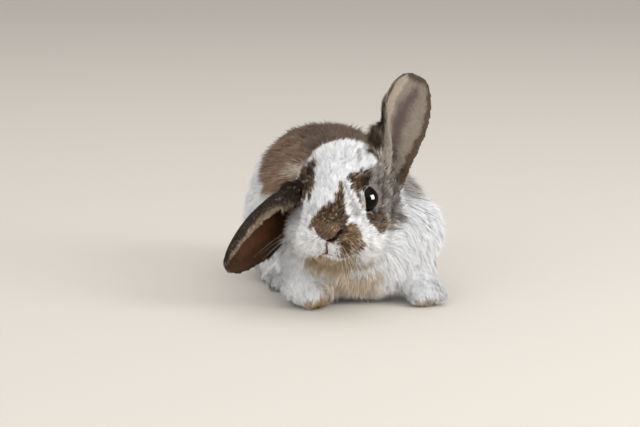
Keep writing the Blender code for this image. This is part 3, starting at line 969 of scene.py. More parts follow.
# Places on the head, in its frame, where the coat differs: start, end, their radii and the growth
HEAD_GROWTHS = (
    ((-2.0, 6.0, 22.0), (-1.0, 16.0, 22.0), 12.0, 13.0, Growth(5.6, 21, 0.2, 9.5, 2.8)),
    ((20.0, 10.0, -14.0), (12.0, -2.0, -24.0), 11.0, 8.0, Growth(6.4, 24, 0.17, 11, 2.6)),
    ((-24.0, 8.0, -12.0), (-16.0, 0.0, -27.0), 11.0, 9.0, Growth(8.0, 43, 0.18, 11, 2.8)),
    ((-22.0, 0.0, 2.0), (-19.0, -4.0, -16.0), 6.0, 6.0, Growth(6.6, 48, 0.18, 11, 2.4)),
    ((2.0, -8.0, 15.0), (2.0, -20.0, 6.0), 9.0, 8.0, Growth(3.2, 20, 0.18, 13, 1.1)),
    ((13.0, -1.0, 0.0), (16.0, 2.0, 0.0), 9.0, 9.5, Growth(2.5, 19, 0.16, 15, 0.8)),
    ((-13.0, -1.0, 0.0), (-16.0, 2.0, 0.0), 9.0, 9.5, Growth(2.8, 26, 0.16, 15, 0.8)),
    ((9.0, -22.0, -12.0), (12.0, -14.0, -10.0), 8.0, 7.0, Growth(3.2, 26, 0.17, 14, 1.1)),
    ((-6.0, -22.0, -13.0), (-9.0, -14.0, -10.0), 8.0, 7.0, Growth(3.5, 30, 0.17, 15, 1.2)),
    ((-3.0, -28.0, -5.0), (5.0, -29.0, -5.0), 5.0, 5.0, Growth(1.2, 14, 0.13, 24, 0.6)),
    ((1.4, -30.0, -12.0), (1.2, -27.0, -21.0), 3.0, 3.5, Growth(1.1, 16, 0.09, 34, 0.6)),
)

SPINE_ASIDE = 13.0  # mm from the middle of the solids' box to the spine

NOSE_TIP = (1.6, -36.0, -9.0)  # the head's hair runs away from here, in the head's frame


class Region(Enum):
    """The parts of the coat, each one piece, with the record's slot of its finish."""

    MUZZLE = ("coat_muzzle", "nose_fur")
    FACE = ("coat_face", "white_fur")
    CROWN = ("coat_crown", "white_fur")
    CHEEKS = ("coat_cheeks", "white_fur")
    LEFT_EAR = ("coat_left_ear", "ear_fur")
    RIGHT_EAR = ("coat_right_ear", "ear_fur")
    CHEST = ("coat_chest", "white_fur")
    SHOULDERS = ("coat_shoulders", "white_fur")
    BACK = ("coat_back", "brown_fur")
    FLANKS = ("coat_flanks", "white_fur")
    RUMP = ("coat_rump", "brown_fur")
    PAWS = ("coat_paws", "white_fur")
    TAIL = ("coat_tail", "white_fur")


# ---------------------------------------------------------------- the skin


@dataclass(frozen=True)
class NoseShape:
    """The nose's slits, the groove below them and the mouth, in the head's frame, mm."""

    left_end: tuple[float, float] = (7.4, -7.4)  # x and z of the slit's end on the left side
    middle: tuple[float, float] = (1.8, -11.4)
    right_end: tuple[float, float] = (-4.6, -6.9)
    groove_end: tuple[float, float] = (1.3, -19.6)
    mouth_left: tuple[float, float] = (6.3, -21.4)  # the mouth's corners
    mouth_right: tuple[float, float] = (-3.9, -21.9)
    front_limit: float = -20.0  # the shaping reaches back to this y
    # depth and width of the cut along each line, and how far beside it there is no hair
    cuts: tuple[tuple[str, float, float, float], ...] = (
        ("left", 2.4, 1.0, 1.2),
        ("right", 1.6, 0.55, 0.6),
        ("groove", 1.4, 0.6, 0.6),
        ("mouth_left", 0.9, 0.4, 0.5),
        ("mouth_right", 0.9, 0.4, 0.5),
    )
    # height of each swelling, its x and z, and its half widths: nose, lip pads, lower lip
    swellings: tuple[tuple[float, ...], ...] = (
        (0.8, 1.7, -6.6, 4.6, 2.6),
        (0.7, -3.4, -14.6, 4.0, 4.2),
        (0.7, 6.6, -14.6, 4.0, 4.2),
        (0.5, 1.3, -22.6, 3.2, 1.2),
    )

    def line(
        self, start: tuple[float, float], end: tuple[float, float], sag: float, flat: Array
    ) -> tuple[Array, Array]:
        """Measure the way to a bowed line.

        Args:
            start: first end, as x and z.
            end: other end.
            sag: how far the middle of the line hangs below its chord.
            flat: x and z of each place.

        Returns:
            Distance from the line, and the share along it.
        """
        steps = np.linspace(0, 1, 25)
        first, last = np.array(start), np.array(end)
        curve = first + steps[:, None] * (last - first)
        curve[:, 1] -= sag * 4 * steps * (1 - steps)
        away = np.linalg.norm(flat[:, None, :] - curve[None], axis=2)
        nearest = away.argmin(axis=1)
        return away.min(axis=1), steps[nearest]

    def distances(self, head: Array) -> dict[str, tuple[Array, Array]]:
        """Measure the way to each slit, the groove and the mouth.

        Args:
            head: places in the head's frame, mm.

        Returns:
            For each line, the distance from it and the share along it.
        """
        flat = head[:, [0, 2]]
        far = np.where(head[:, 1] > self.front_limit, 50.0, 0.0)
        lines = {
            "left": self.line(self.middle, self.left_end, 1.2, flat),
            "right": self.line(self.middle, self.right_end, 0.5, flat),
            "groove": self.line(self.middle, self.groove_end, 0.0, flat),
            "mouth_left": self.line(self.groove_end, self.mouth_left, -0.5, flat),
            "mouth_right": self.line(self.groove_end, self.mouth_right, -0.5, flat),
        }
        return {name: (away + far, share) for name, (away, share) in lines.items()}


@dataclass(frozen=True)
class EyeShape:
    """One eye: its ball and the opening between its lids, in the head's frame."""

    side: int  # 1 on the left, -1 on the right
    radius: float = 7.2
    centre: Triple = (12.0, 0.5, 0.5)
    axis: Triple = (0.965, -0.2, 0.14)
    front_angle: float = 53.0  # degrees from the axis to the lids, in front, behind and above
    back_angle: float = 42.0
    upright_angle: float = 58.0
    squareness: float = 2.7
    corner_at: float = -38.0  # degrees round the axis to the opening's drawn-out corner
    corner_spread: float = 16.0
    corner_reach: float = 5.0
    rim_angle: float = 2.4  # degrees of bare rim round the opening
    lid: float = 0.6
    cornea: float = 0.75  # mm that the clear front bulges

    def frame(self) -> tuple[Array, Array, Array, Array]:
        """Set up the ball in the head's frame.

        Returns:
            Its centre and its outward, forward and upward axes.
        """
        mirror = np.array([self.side, 1.0, 1.0])
        outward = unit(np.array(self.axis) * mirror)
        forward = np.array([0.0, -1.0, 0.0])
        forward = unit(forward - outward * (forward @ outward))
        upward = np.cross(outward, forward) * (1 if self.side > 0 else -1)
        if upward[2] < 0:
            upward = -upward
        return np.array(self.centre) * mirror, outward, forward, upward

    def polar(self, head: Array) -> tuple[Array, Array, Array]:
        """Measure places from the ball.

        Args:
            head: places in the head's frame, mm.

        Returns:
            Distance from its centre, degrees from its axis, and how many degrees the lids'
            opening reaches in that direction.
        """
        centre, outward, forward, upward = self.frame()
        offset = head - centre
        away = np.linalg.norm(offset, axis=1)
        angle = np.degrees(np.arccos(np.clip(offset @ outward / np.maximum(away, 1e-9), -1, 1)))
        ahead, above = offset @ forward, offset @ upward
        around = np.arctan2(above, ahead)
        reach = np.where(ahead > 0, self.front_angle, self.back_angle)
        square = np.abs(np.cos(around) / reach) ** self.squareness
        square = square + np.abs(np.sin(around) / self.upright_angle) ** self.squareness
        opening = square ** (-1 / self.squareness)
        corner = np.exp(-(((np.degrees(around) - self.corner_at) / self.corner_spread) ** 2))
        return away, angle, opening + self.corner_reach * corner

    def behind(self, head: Array, low: float, high: float) -> Array:
        """Say how far behind the ball's middle places lie, from 0 at low to 1 at high, in mm."""
        return smoothstep(low, high, (head - self.frame()[0]) @ self.frame()[2])


NOSE = NoseShape()
EYES = (
    EyeShape(side=-1, axis=(0.985, 0.0, 0.14), front_angle=42.0, upright_angle=52.0),
    EyeShape(side=1),
)


@dataclass
class Skin:
    """The rabbit's skin, one closed surface under the coat, and what each place on it is like."""

    inflate: float = 0.22
    envelope_voxel: float = 1.4
    voxel: float = 0.95
    vertices: Array = field(default_factory=lambda: np.empty((0, 3)))
    triangles: Array = field(default_factory=lambda: np.empty((0, 3), dtype=int))

    def solids(self) -> tuple[Array, Array, list[str], Array]:
        """Gather the solids of flesh and the eyes, each merged and slightly grown.

        Returns:
            Vertices in mm, triangles, node names, and the node number of each triangle.
        """
        places, faces, owners, names = [], [], [], []
        count = 0
        for number, (name, node) in enumerate(sorted(frame["nodes"].items())):
            work = bmesh.new()
            work.from_mesh(node.data)
            bmesh.ops.remove_doubles(work, verts=work.verts, dist=1e-6)
            bmesh.ops.triangulate(work, faces=work.faces[:])
            work.verts.index_update()
            here = np.array([vertex.co for vertex in work.verts]) / MM
            sides = np.array([[vertex.index for vertex in face.verts] for face in work.faces])
            work.free()
            here = here + vertex_normals(here, sides) * self.inflate
            places.append(here)
            faces.append(sides + count)
            owners.append(np.full(len(sides), number))
            names.append(name)
            count += len(here)
        return np.concatenate(places), np.concatenate(faces), names, np.concatenate(owners)

    def marked(self, nodes: Array, names: tuple[str, ...]) -> Array:
        """Mark the node numbers that stand for any of some names."""
        return np.isin(nodes, [self.names.index(name) for name in names])

    def of(self, *names: str) -> Array:
        """Mark the vertices that belong to some nodes."""
        return self.marked(self.nodes, names)

    def owner(self, points: Array) -> Array:
        """Find the node whose solid is nearest to each place."""
        found = [self.tree.find_nearest(Vector(point))[2] for point in points]
        return self.owners[np.array(found)]

    def growth(self, points: Array, nodes: Array, edges: Array) -> Array:
        """Give each vertex its rows of Growth, blended where regions meet.

        Args:
            points: the vertices in mm.
            nodes: the node number of each.
            edges: the mesh's edges.

        Returns:
            Rows of length, lift, width, density and depth.
        """
        values = np.array([growth_of(name).row() for name in self.names])[nodes]
        head = HEAD.to_head(points)
        on_head = self.marked(nodes, HEAD_NODES)
        for start, end, start_radius, end_radius, growth in HEAD_GROWTHS:
            patch = Patch(Hair.WHITE, ((*start, start_radius), (*end, end_radius)), 3.0, 0.0)
            share = (patch.share(head) * on_head)[:, None]
            values = lerp(values, growth.row(), share)
        return np.where(self.marked(nodes, EAR_NODES)[:, None], values, spread(values, edges, 8))

    def build(self) -> bpy.types.Object:
        """Shape the skin and find out what each place on it is like.

        Returns:
            The skin.
        """
        places, faces, self.names, self.owners = self.solids()
        self.tree = surface_tree(places, faces)
        body = ~self.marked(self.owners, EAR_NODES)
        vertices, quads = fused(places, faces[body], self.envelope_voxel, 10)
        self.envelope = surface_tree(vertices, quads)
        vertices = self.sunk(vertices, quads)
        parts, sides, count = [vertices], [quads], len(vertices)
        for ear in (LEFT_EAR, RIGHT_EAR):
            shell, shell_quads = ear.solid()
            parts.append(shell)
            sides.append(shell_quads + count)
            count += len(shell)
        vertices, quads = fused(np.concatenate(parts), np.concatenate(sides), self.voxel, 2)
        vertices, triangles = self.refined(vertices, quads)
        vertices = self.shaped_eyes(vertices)
        vertices = self.shaped_nose(vertices, triangles)
        self.vertices, self.triangles = vertices, triangles
        self.describe()
        return self.dressed()

    def sunk(self, vertices: Array, quads: Array) -> Array:
        """Move the coat's outer surface in by the coat's depth, in small steps.

        Args:
            vertices: places in mm.
            quads: faces.

        Returns:
            The moved places.
        """
        edges = face_edges(quads)
        nodes = self.owner(vertices)
        depth = spread(self.growth(vertices, nodes, edges)[:, 4], edges, 6)
        calm = smoothstep(0.8, 2.5, depth)[:, None]  # only deep places are smoothed on the way
        steps = 4
        for _ in range(steps):
            vertices = vertices - vertex_normals(vertices, quads) * (depth / steps)[:, None]
            vertices = lerp(vertices, spread(vertices, edges, 1), calm)
        return vertices

    def refined(self, vertices: Array, quads: Array) -> tuple[Array, Array]:
        """Split the faces of the nose, mouth and lids finer.

        Args:
            vertices: places in mm.
            quads: faces.

        Returns:
            Vertices and triangles.
        """
        mouth = np.array([1.6, -29.0, -13.0])
        work = bmesh.new()
        work.from_mesh(new_mesh("temporary", vertices, quads))
        for level in range(2):
            centres = np.array([face.calc_center_median() for face in work.faces])
            head = HEAD.to_head(centres)
            reach = 12.0 - 2.5 * level
            near = (np.linalg.norm(head - mouth, axis=1) < reach) & (head[:, 1] < -19.0)
            for eye in EYES:
                away, angle, opening = eye.polar(head)
                ring = (away < eye.radius + 2.6) & (away > eye.radius - 3.0)
                span = 22 - 8 * level
                near |= ring & (angle > opening - span) & (angle < opening + span)
            work.faces.ensure_lookup_table()
            chosen = {edge for number in np.nonzero(near)[0] for edge in work.faces[number].edges}
            chosen = sorted(chosen, key=lambda edge: edge.index)
            bmesh.ops.subdivide_edges(work, edges=chosen, cuts=1, use_grid_fill=True)
            work.verts.index_update()
            work.edges.index_update()
            work.faces.index_update()
        bmesh.ops.triangulate(work, faces=work.faces[:])
        made = bpy.data.meshes.new("temporary")
        work.to_mesh(made)
        work.free()
        return mesh_arrays(made)

    def shaped_eyes(self, vertices: Array) -> Array:
        """Form lids round each eye and sink the skin behind the ball.

        Args:
            vertices: places in mm.

        Returns:
            The moved places.
        """
        head = HEAD.to_head(vertices)
        for eye in EYES:
            centre = eye.frame()[0]
            away, angle, opening = eye.polar(head)
            near = (away < eye.radius + 3.2) & (away > eye.radius - 3.5) & (angle < 100)
            inside = smoothstep(opening + 1.5, opening - 1.5, angle)
            lid = eye.lid * (1 - 0.5 * eye.behind(head, 0.0, -4.0))
            lid = eye.radius + lid * smoothstep(opening - 1.0, opening + 2.5, angle)
            lid = lid + 0.25 * np.exp(-(((angle - opening - 5.5) / 4.0) ** 2))
            keep = smoothstep(opening + 6.0, opening + 22.0, angle)
            outer = np.maximum(away, eye.radius + 0.35)
            reach = lerp(lid, outer, keep)
            reach = lerp(reach, eye.radius - 1.6, inside)
            change = np.where(near, reach - away, 0.0)
            fade = smoothstep(3.2, 1.8, away - eye.radius)
            head = head + unit(head - centre) * (change * fade)[:, None]
        return HEAD.to_row(head)

    def shaped_nose(self, vertices: Array, triangles: Array) -> Array:
        """Cut the nose's slits, the groove and the mouth, and round the pads between them.

        Args:
            vertices: places in mm.
            triangles: faces.

        Returns:
            The moved places.
        """
        head = HEAD.to_head(vertices)
        lines = NOSE.distances(head)
        normals = vertex_normals(vertices, triangles) @ HEAD.turn()
        into = unit(normals * np.array([0.3, 1.0, 0.3]))
        x, z = head[:, 0], head[:, 2]
        front = smoothstep(-19.0, -22.5, head[:, 1])
        swell, cut = np.zeros(len(head)), np.zeros(len(head))
        for height, across, above, half_width, half_height in NOSE.swellings:
            bump = np.exp(-(((x - across) / half_width) ** 2) - ((z - above) / half_height) ** 2)
            swell = swell + height * bump
        for name, depth, width, _ in NOSE.cuts:
            away, share = lines[name]
            fade = 1.0 - 0.55 * share**3 if name != "left" else 0.75 + 0.25 * np.sin(math.pi * share)
            cut = np.maximum(cut, depth * fade * np.exp(-((away / (width * (0.7 + 0.3 * fade))) ** 2)))
        rolled = 0.35 * np.exp(-(((lines["left"][0] - 1.3) / 0.6) ** 2)) * (z > -11.5)
        head = head + into * ((swell + rolled - cut) * front)[:, None]
        return HEAD.to_row(head)

    def describe(self) -> None:
        """Work out, for each vertex, its normal, node, growth, lie of hair and place on an ear."""
        vertices, triangles = self.vertices, self.triangles
        self.edges = face_edges(triangles)
        self.normals = vertex_normals(vertices, triangles)
        self.nodes = self.owner(vertices)
        self.head = HEAD.to_head(vertices)
        self.ear_places()
        self.grown = self.growth(vertices, self.nodes, self.edges)
        self.lie = self.lay_of_hair()
        self.thin_out()
        corner = [vertices[triangles[:, k]] for k in range(3)]
        self.areas = np.linalg.norm(np.cross(corner[1] - corner[0], corner[2] - corner[0]), axis=1) / 2

    def ear_places(self) -> None:
        """Find s, t and the inner or outer side for the vertices of the ears."""
        total = len(self.vertices)
        self.ear_s, self.ear_t, self.ear_inside = np.full(total, -1.0), np.full(total, 0.5), np.zeros(total)
        self.ear_along = np.zeros((total, 3))
        for ear in (LEFT_EAR, RIGHT_EAR):
            places, normals, share = ear.surface()
            columns = places.shape[1]
            flat, flat_normals = places.reshape(-1, 3), normals.reshape(-1, 3)
            tree = KDTree(len(flat))
            for number, place in enumerate(flat):
                tree.insert(place, number)
            tree.balance()
            mine = np.nonzero(self.of(ear.name))[0]
            nearest = np.array([tree.find(Vector(self.vertices[number]))[1] for number in mine])
            offset = self.vertices[mine] - flat[nearest]
            along = unit(np.gradient(places, axis=0)).reshape(-1, 3)
            self.ear_s[mine] = share[nearest // columns]
            self.ear_t[mine] = (nearest % columns) / (columns - 1)
            height = np.sum(offset * flat_normals[nearest], axis=1)
            self.ear_inside[mine] = np.clip(height / (ear.thickness / 2), -1, 1)
            outward = unit(np.gradient(places, axis=1)).reshape(-1, 3)
            push = (self.ear_t[mine] - 0.5)[:, None] * 1.1
            self.ear_along[mine] = unit(along[nearest] + outward[nearest] * push)

    def base_tuft(self) -> Array:
        """Mark out the brown tuft behind the raised ear's root.

        Returns:
            A share of 0 to 1 for each vertex.
        """
        edge = 0.82 + 0.14 * smoothstep(0.36, 0.46, self.ear_s)
        across = smoothstep(0.36, 0.55, self.ear_t) * smoothstep(edge + 0.04, edge - 0.04, self.ear_t)
        return self.of("left_ear") * (self.ear_inside < 0.0) * across * smoothstep(0.72, 0.6, self.ear_s)

    def lay_of_hair(self) -> Array:
        """Lay the hair along the skin.

        Returns:
            The direction that hair lies in at each vertex.
        """
        vertices, head = self.vertices, self.head
        spine = (CAD_BOX[0].x + CAD_BOX[1].x) / 2 / MM + SPINE_ASIDE
        side = np.sign(vertices[:, 0] - spine)
        lie = np.zeros_like(vertices)

        def rows(x: Array | float, y: Array | float, z: Array | float) -> Array:
            """Make rows of vectors from three parts."""
            parts = [np.broadcast_to(np.asarray(part, dtype=float), len(vertices)) for part in (x, y, z)]
            return np.stack(parts, axis=1)

        away = unit(head - np.array(NOSE_TIP))
        low = smoothstep(-2.0, -16.0, head[:, 2])[:, None]
        away = away + rows(0.0, 0.35, 0.0) - rows(0.0, 0.0, 0.35) * low
        fringe = smoothstep(-13.0, -20.0, head[:, 0]) * smoothstep(2.0, -8.0, head[:, 2])
        away = away + np.array([-0.9, -0.5, -0.3]) * fringe[:, None]
        on_head = self.of(*HEAD_NODES)
        lie[on_head] = HEAD.aim_row(away)[on_head]
        for name in set(self.names) - {*HEAD_NODES, *EAR_NODES}:
            outward, back, up = LIES[plain(name)]
            mine = self.of(name)
            lie[mine] = rows(outward * side, back, up)[mine]
        lie = spread(unit(lie), self.edges, 30)
        for eye in EYES:
            away, angle, opening = eye.polar(head)
            near = smoothstep(34.0, 6.0, angle - opening) * (away < eye.radius + 4.0)
            outward = unit(HEAD.aim_row(head - eye.frame()[0] - eye.frame()[1] * away[:, None]))
            lie = lerp(lie, outward, 0.75 * near[:, None])
        ears = self.of(*EAR_NODES)
        lie[ears] = self.ear_along[ears]
        lie = lerp(lie, rows(-0.8, -0.35, 0.5), 0.8 * self.base_tuft()[:, None])
        lie = spread(lie, self.edges, 3)
        return unit(lie - self.normals * np.sum(lie * self.normals, axis=1, keepdims=True))

    def thin_out(self) -> None:
        """Leave the eyeballs, slits and lips free of hair, and the inner ears thinly covered."""
        density = self.grown[:, 3]
        for eye in EYES:
            away, angle, opening = eye.polar(self.head)
            ring = smoothstep(opening + 18.0, opening + 6.0, angle) * (away < eye.radius + 3.0)
            self.grown[:, 0] *= 1 - 0.4 * ring
            density *= 1 + 0.5 * ring
            bare = (away < eye.radius + 3.0) & (angle < opening + eye.rim_angle)
            density[bare] = 0.0
        lines = NOSE.distances(self.head)
        right_of_groove = self.head[:, 0] < NOSE.groove_end[0]
        for name, _, _, bare in NOSE.cuts:
            wider = 0.5 * right_of_groove if name == "groove" else 0.0
            density[lines[name][0] < bare + wider] = 0.0
        inner = self.of(*EAR_NODES) & (self.ear_inside > 0.2)
        self.grown[inner, 0] *= 0.8
        density[inner] *= 0.8
        self.grown = lerp(self.grown, BASE_TUFT.row(), self.base_tuft()[:, None])
        shaggy = self.of("right_ear") * (self.ear_inside < 0.0) * smoothstep(0.75, 0.3, self.ear_s)
        self.grown = lerp(self.grown, EAR_SHAG.row(), shaggy[:, None])
        self.grown[self.vertices[:, 2] < 0.8, 3] *= 0.3  # under the soles

    def colours(
        self, points: Array, node: Array, ear: Array, draw: Array | None
    ) -> tuple[Array, Array, Array, Array]:
        """Colour places of the skin or hairs by the rabbit's markings.

        Args:
            points: places in mm.
            node: the node number of each.
            ear: rows of s, t and inside.
            draw: a number of 0 to 1 for each hair, which picks the marking it belongs to where
                two meet, or None to blend them, as on skin.

        Returns:
            Colours at the root, the middle and the tip, and how much the shade may vary.
        """
        layers = [np.tile(tone, (len(points), 1)) for tone in Hair.WHITE.tones]
        vary = np.full(len(points), Hair.WHITE.variety)

        def lay(hair: Hair, share: Array, blend: float) -> None:
            """Lay one marking over what is there.

            Args:
                hair: the marking's hair.
                share: how much each place belongs to it.
                blend: how softly tufts pass into it, from 0 to 0.5.
            """
            if draw is not None:
                middle = blend + (1 - 2 * blend) * draw
                share = smoothstep(middle - blend, middle + blend, share)
            layers[:] = [lerp(layer, tone, share[:, None]) for layer, tone in zip(layers, hair.tones)]
            vary[:] = lerp(vary, hair.variety, share)

        head, model = HEAD.to_head(points), points - HEAD.shift()
        on_head = self.marked(node, HEAD_NODES).astype(float)
        ears = {name: self.marked(node, (name,)).astype(float) for name in EAR_BANDS}
        body = 1.0 - on_head - sum(ears.values())
        ragged = waves(points, 8.0, 31)
        for marking in (*BLANKETS, *BODY_MARKS):
            lay(marking.hair, marking.share(model) * body, 0.45)
        for patch in FACE_MARKS:
            lay(patch.hair, patch.share(head) * on_head, 0.4 if patch.soft >= 2 else 0.1)
        for name, bands in EAR_BANDS.items():
            for band in bands:
                lay(band.hair, band.share(*ear.T, ragged) * ears[name], 0.35)
        return (*layers, vary)

    def overshoot(self, points: Array) -> Array:
        """Measure how far places stand out of the solids' outer surface.

        Args:
            points: places in mm.

        Returns:
            The distance of each in mm, or 0 within the surface.
        """
        found = [self.envelope.find_nearest(Vector(point)) for point in points]
        places = np.array([spot for spot, _, _, _ in found])
        facing = np.array([normal for _, normal, _, _ in found])
        return np.maximum(np.sum((points - places) * facing, axis=1), 0.0)

    def dressed(self) -> bpy.types.Object:
        """Colour the skin as its coat is coloured, with bare lips, slits and lids.

        Returns:
            The skin, in place of all the solids of flesh.
        """
        ear = np.stack([self.ear_s, self.ear_t, self.ear_inside], axis=1)
        shown = self.vertices + self.lie * self.grown[:, :1] * 0.5
        root, middle, _, _ = self.colours(shown, self.nodes, ear, None)
        colour = lerp(root, middle, 0.6)
        inner = smoothstep(0.1, 0.5, self.ear_inside)[:, None]
        colour = lerp(colour, middle * np.array([1.0, 0.93, 0.9]), inner)
        lines = NOSE.distances(self.head)
        pink, dark, lid, margin = rgb(164, 134, 130), rgb(14, 8, 7), rgb(10, 8, 8), rgb(146, 134, 122)
        lips = np.minimum(lines["mouth_left"][0], lines["mouth_right"][0])
        lips = np.minimum(lips, lines["groove"][0] + 0.3 * (self.head[:, 2] > -16))
        near_middle = smoothstep(4.0, 1.5, np.abs(self.head[:, 0] - NOSE.groove_end[0]))
        colour = lerp(colour, pink, (smoothstep(1.7, 1.1, lips) * near_middle)[:, None])
        # painted shade: the nose slits are darkened nearly to black, and the groove and mouth line to dark
        # brown, as shade in their clefts
        for name, width in (("left", 1.0), ("right", 0.42)):
            colour = lerp(colour, dark, smoothstep(width + 0.2, width - 0.1, lines[name][0])[:, None])
        for name in ("groove", "mouth_left", "mouth_right"):
            colour = lerp(colour, dark * 2.2, smoothstep(0.6, 0.25, lines[name][0])[:, None] * 0.9)
        for eye in EYES:
            away, angle, opening = eye.polar(self.head)
            close = away < eye.radius + 3.0
            bare = smoothstep(opening + eye.rim_angle + 1.5, opening + eye.rim_angle - 0.5, angle) * close
            colour = lerp(colour, margin, 0.7 * bare[:, None])
            wet = smoothstep(opening + 1.6, opening + 0.2, angle) * close
            wet = wet * (1 - 0.9 * eye.behind(self.head, -0.5, -4.0))
            colour = lerp(colour, lid, wet[:, None])
        mesh = new_mesh("skin", self.vertices, self.triangles, MM)
        paint_points(mesh, "coat_colour", colour)
        made = finished("skin", mesh, FURRED_SKIN.material())
        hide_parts(*[name for name in self.names if not name.endswith("_eye")])
        return made


# ---------------------------------------------------------------- the coat


@dataclass(frozen=True)
class TuftStyle:
    """How a piece's hairs are drawn: rings of a blade, hairs in a tuft, and how tufts make locks."""

    rings: tuple[float, ...] = (0.0, 0.4, 0.75)
    hairs: int = 4
    gather: float = 0.3
    scatter: float = 0.5  # mm between a tuft's middle and its hairs
    stray: float = 0.12  # spread of the hairs' directions
    tufts: int = 6  # tufts in a lock
    lock: float = 0.3  # how far a tuft leans to its lock's middle
    allowance: float = 1.0  # mm that a tuft may stand out of the solids
    unrest: float = 1.0  # how much locks differ in heading and rise


FINE = TuftStyle(rings=(0.0, 0.5), gather=0.35, scatter=0.28, stray=0.11, tufts=5, lock=0.35, allowance=1.4)
SOFT = TuftStyle(gather=0.35, scatter=0.5, stray=0.13, tufts=6, lock=0.35, allowance=1.1)
RAGGED = TuftStyle(gather=0.5, scatter=0.4, stray=0.16, tufts=6, lock=0.45, allowance=3.2, unrest=1.3)
BODY_COAT = TuftStyle(gather=0.2, scatter=0.75, stray=0.09, tufts=10, lock=0.14, allowance=1.2, unrest=0.5)
SHORT = TuftStyle(rings=(0.0, 0.5), gather=0.25, scatter=0.45, lock=0.2, allowance=0.6, unrest=0.6)
EAR = TuftStyle(rings=(0.0, 0.5), gather=0.25, scatter=0.3, stray=0.14, tufts=4, lock=0.2, allowance=9.0)
STYLES = {
    Region.MUZZLE: FINE,
    Region.FACE: FINE,
    Region.CROWN: SOFT,
    Region.CHEEKS: RAGGED,
    Region.LEFT_EAR: EAR,
    Region.RIGHT_EAR: EAR,
    Region.PAWS: SHORT,
    Region.TAIL: SOFT,
}
LIMIT = 196_000  # triangles in one piece of the coat
PATCH = 0.003  # a tuft's width on the OFBake map
MAP_MARGIN = 0.006
ROOT_DEPTH = 0.25  # mm that hairs are set into the skin
FLOOR_GAP = 0.1  # mm that they keep above the floor
MARK_SCATTER = 0.25  # mm that chance moves a hair over the edge of a marking
MIDDLE_AT = 0.45  # share of a hair's length at which it has its middle colour
PALE_TIP = rgb(206, 180, 146)  # some tufts of mixed brown have tips towards this


def tilted(first: Array, second: Array, angle: Array) -> Array:
    """Turn the first directions towards the second by an angle in radians."""
    return first * np.cos(angle)[:, None] + second * np.sin(angle)[:, None]


@dataclass
class Tufts:
    """The tufts of one piece of the coat: each array has a row or a number for each tuft."""

    root: Array
    normal: Array
    lie: Array
    beside: Array
    node: Array
    ear: Array
    width: Array
    lean: Array  # the way to the middle of its lock
    swirl: Array  # radians that it turns from the lie of the coat
    length: Array
    rise: Array  # radians off the skin
    shade: Array

    def along(self) -> Array:
        """Give the direction along the skin that each tuft heads in."""
        return unit(tilted(self.lie, self.beside, self.swirl))

    def tips(self) -> Array:
        """Find about where the tufts end; a hair bends over, so it rises less than its length."""
        forward = self.along() * (self.length * np.cos(self.rise))[:, None]
        return self.root + forward + self.normal * (self.length * np.sin(self.rise))[:, None] * 0.82


@dataclass
class Hairs:
    """The hairs of one piece of the coat: each array has a row or a number for each hair."""

    style: TuftStyle
    root: Array
    centre: Array  # its tuft's root
    normal: Array
    along: Array
    mean_along: Array  # its tuft's heading
    pull: Array  # the way that its lock leans
    rise: Array
    reach: Array
    roll: Array  # radians that the blade turns about its length
    width: Array

    def path(self, share: float) -> Array:
        """Find places on the hairs, which rise, then bend over and gather.

        Args:
            share: place along each hair, from 0 at the root to 1 at the tip.

        Returns:
            Places in mm.
        """
        forward = np.cos(self.rise) * share + (1 - np.cos(self.rise)) * 0.5 * share**2
        forward = (self.reach * forward)[:, None]
        upward = np.sin(self.rise) * share * (1.18 - 0.36 * share)
        upward = self.normal * (self.reach * upward)[:, None]
        own = self.root + self.along * forward + upward
        shared = self.centre + self.mean_along * forward + upward
        return lerp(own, shared, self.style.gather * share**1.5) + self.pull * share**1.5

    def blades(self) -> tuple[Array, Array, Array]:
        """Draw each hair as a thin blade that tapers to a point.

        Returns:
            Vertices in mm, triangles and a normal for each vertex.
        """
        rings = []
        for share in self.style.rings:
            middle = self.path(share)
            ahead = unit(self.path(share + 0.05) - middle)
            flat = unit(np.cross(self.normal, ahead))
            blade = tilted(flat, np.cross(ahead, flat), self.roll)
            if share == 0.0:
                middle = middle - self.normal * ROOT_DEPTH
            taper = 0.85 if share == 0.0 else 1.0 if share < 0.6 else 0.72
            half = blade * (self.width * taper / 2)[:, None]
            rings += [middle - half, middle + half]
        rings.append(self.path(1.0))
        corners = len(rings)
        vertices = np.stack(rings, axis=1).reshape(-1, 3)
        vertices[:, 2] = np.maximum(vertices[:, 2], FLOOR_GAP)

        pattern = []
        for low in range(0, corners - 3, 2):
            pattern += [(low, low + 3, low + 1), (low, low + 2, low + 3)]
        pattern.append((corners - 3, corners - 1, corners - 2))
        start = np.arange(len(self.root))[:, None] * corners
        faces = np.concatenate([start + np.array(row) for row in pattern], axis=1).reshape(-1, 3)

        facing = np.repeat(self.normal, corners, axis=0)
        lean = (flat * np.sin(self.roll)[:, None]) * -0.35
        return vertices, faces, unit(facing + np.repeat(lean, corners, axis=0))


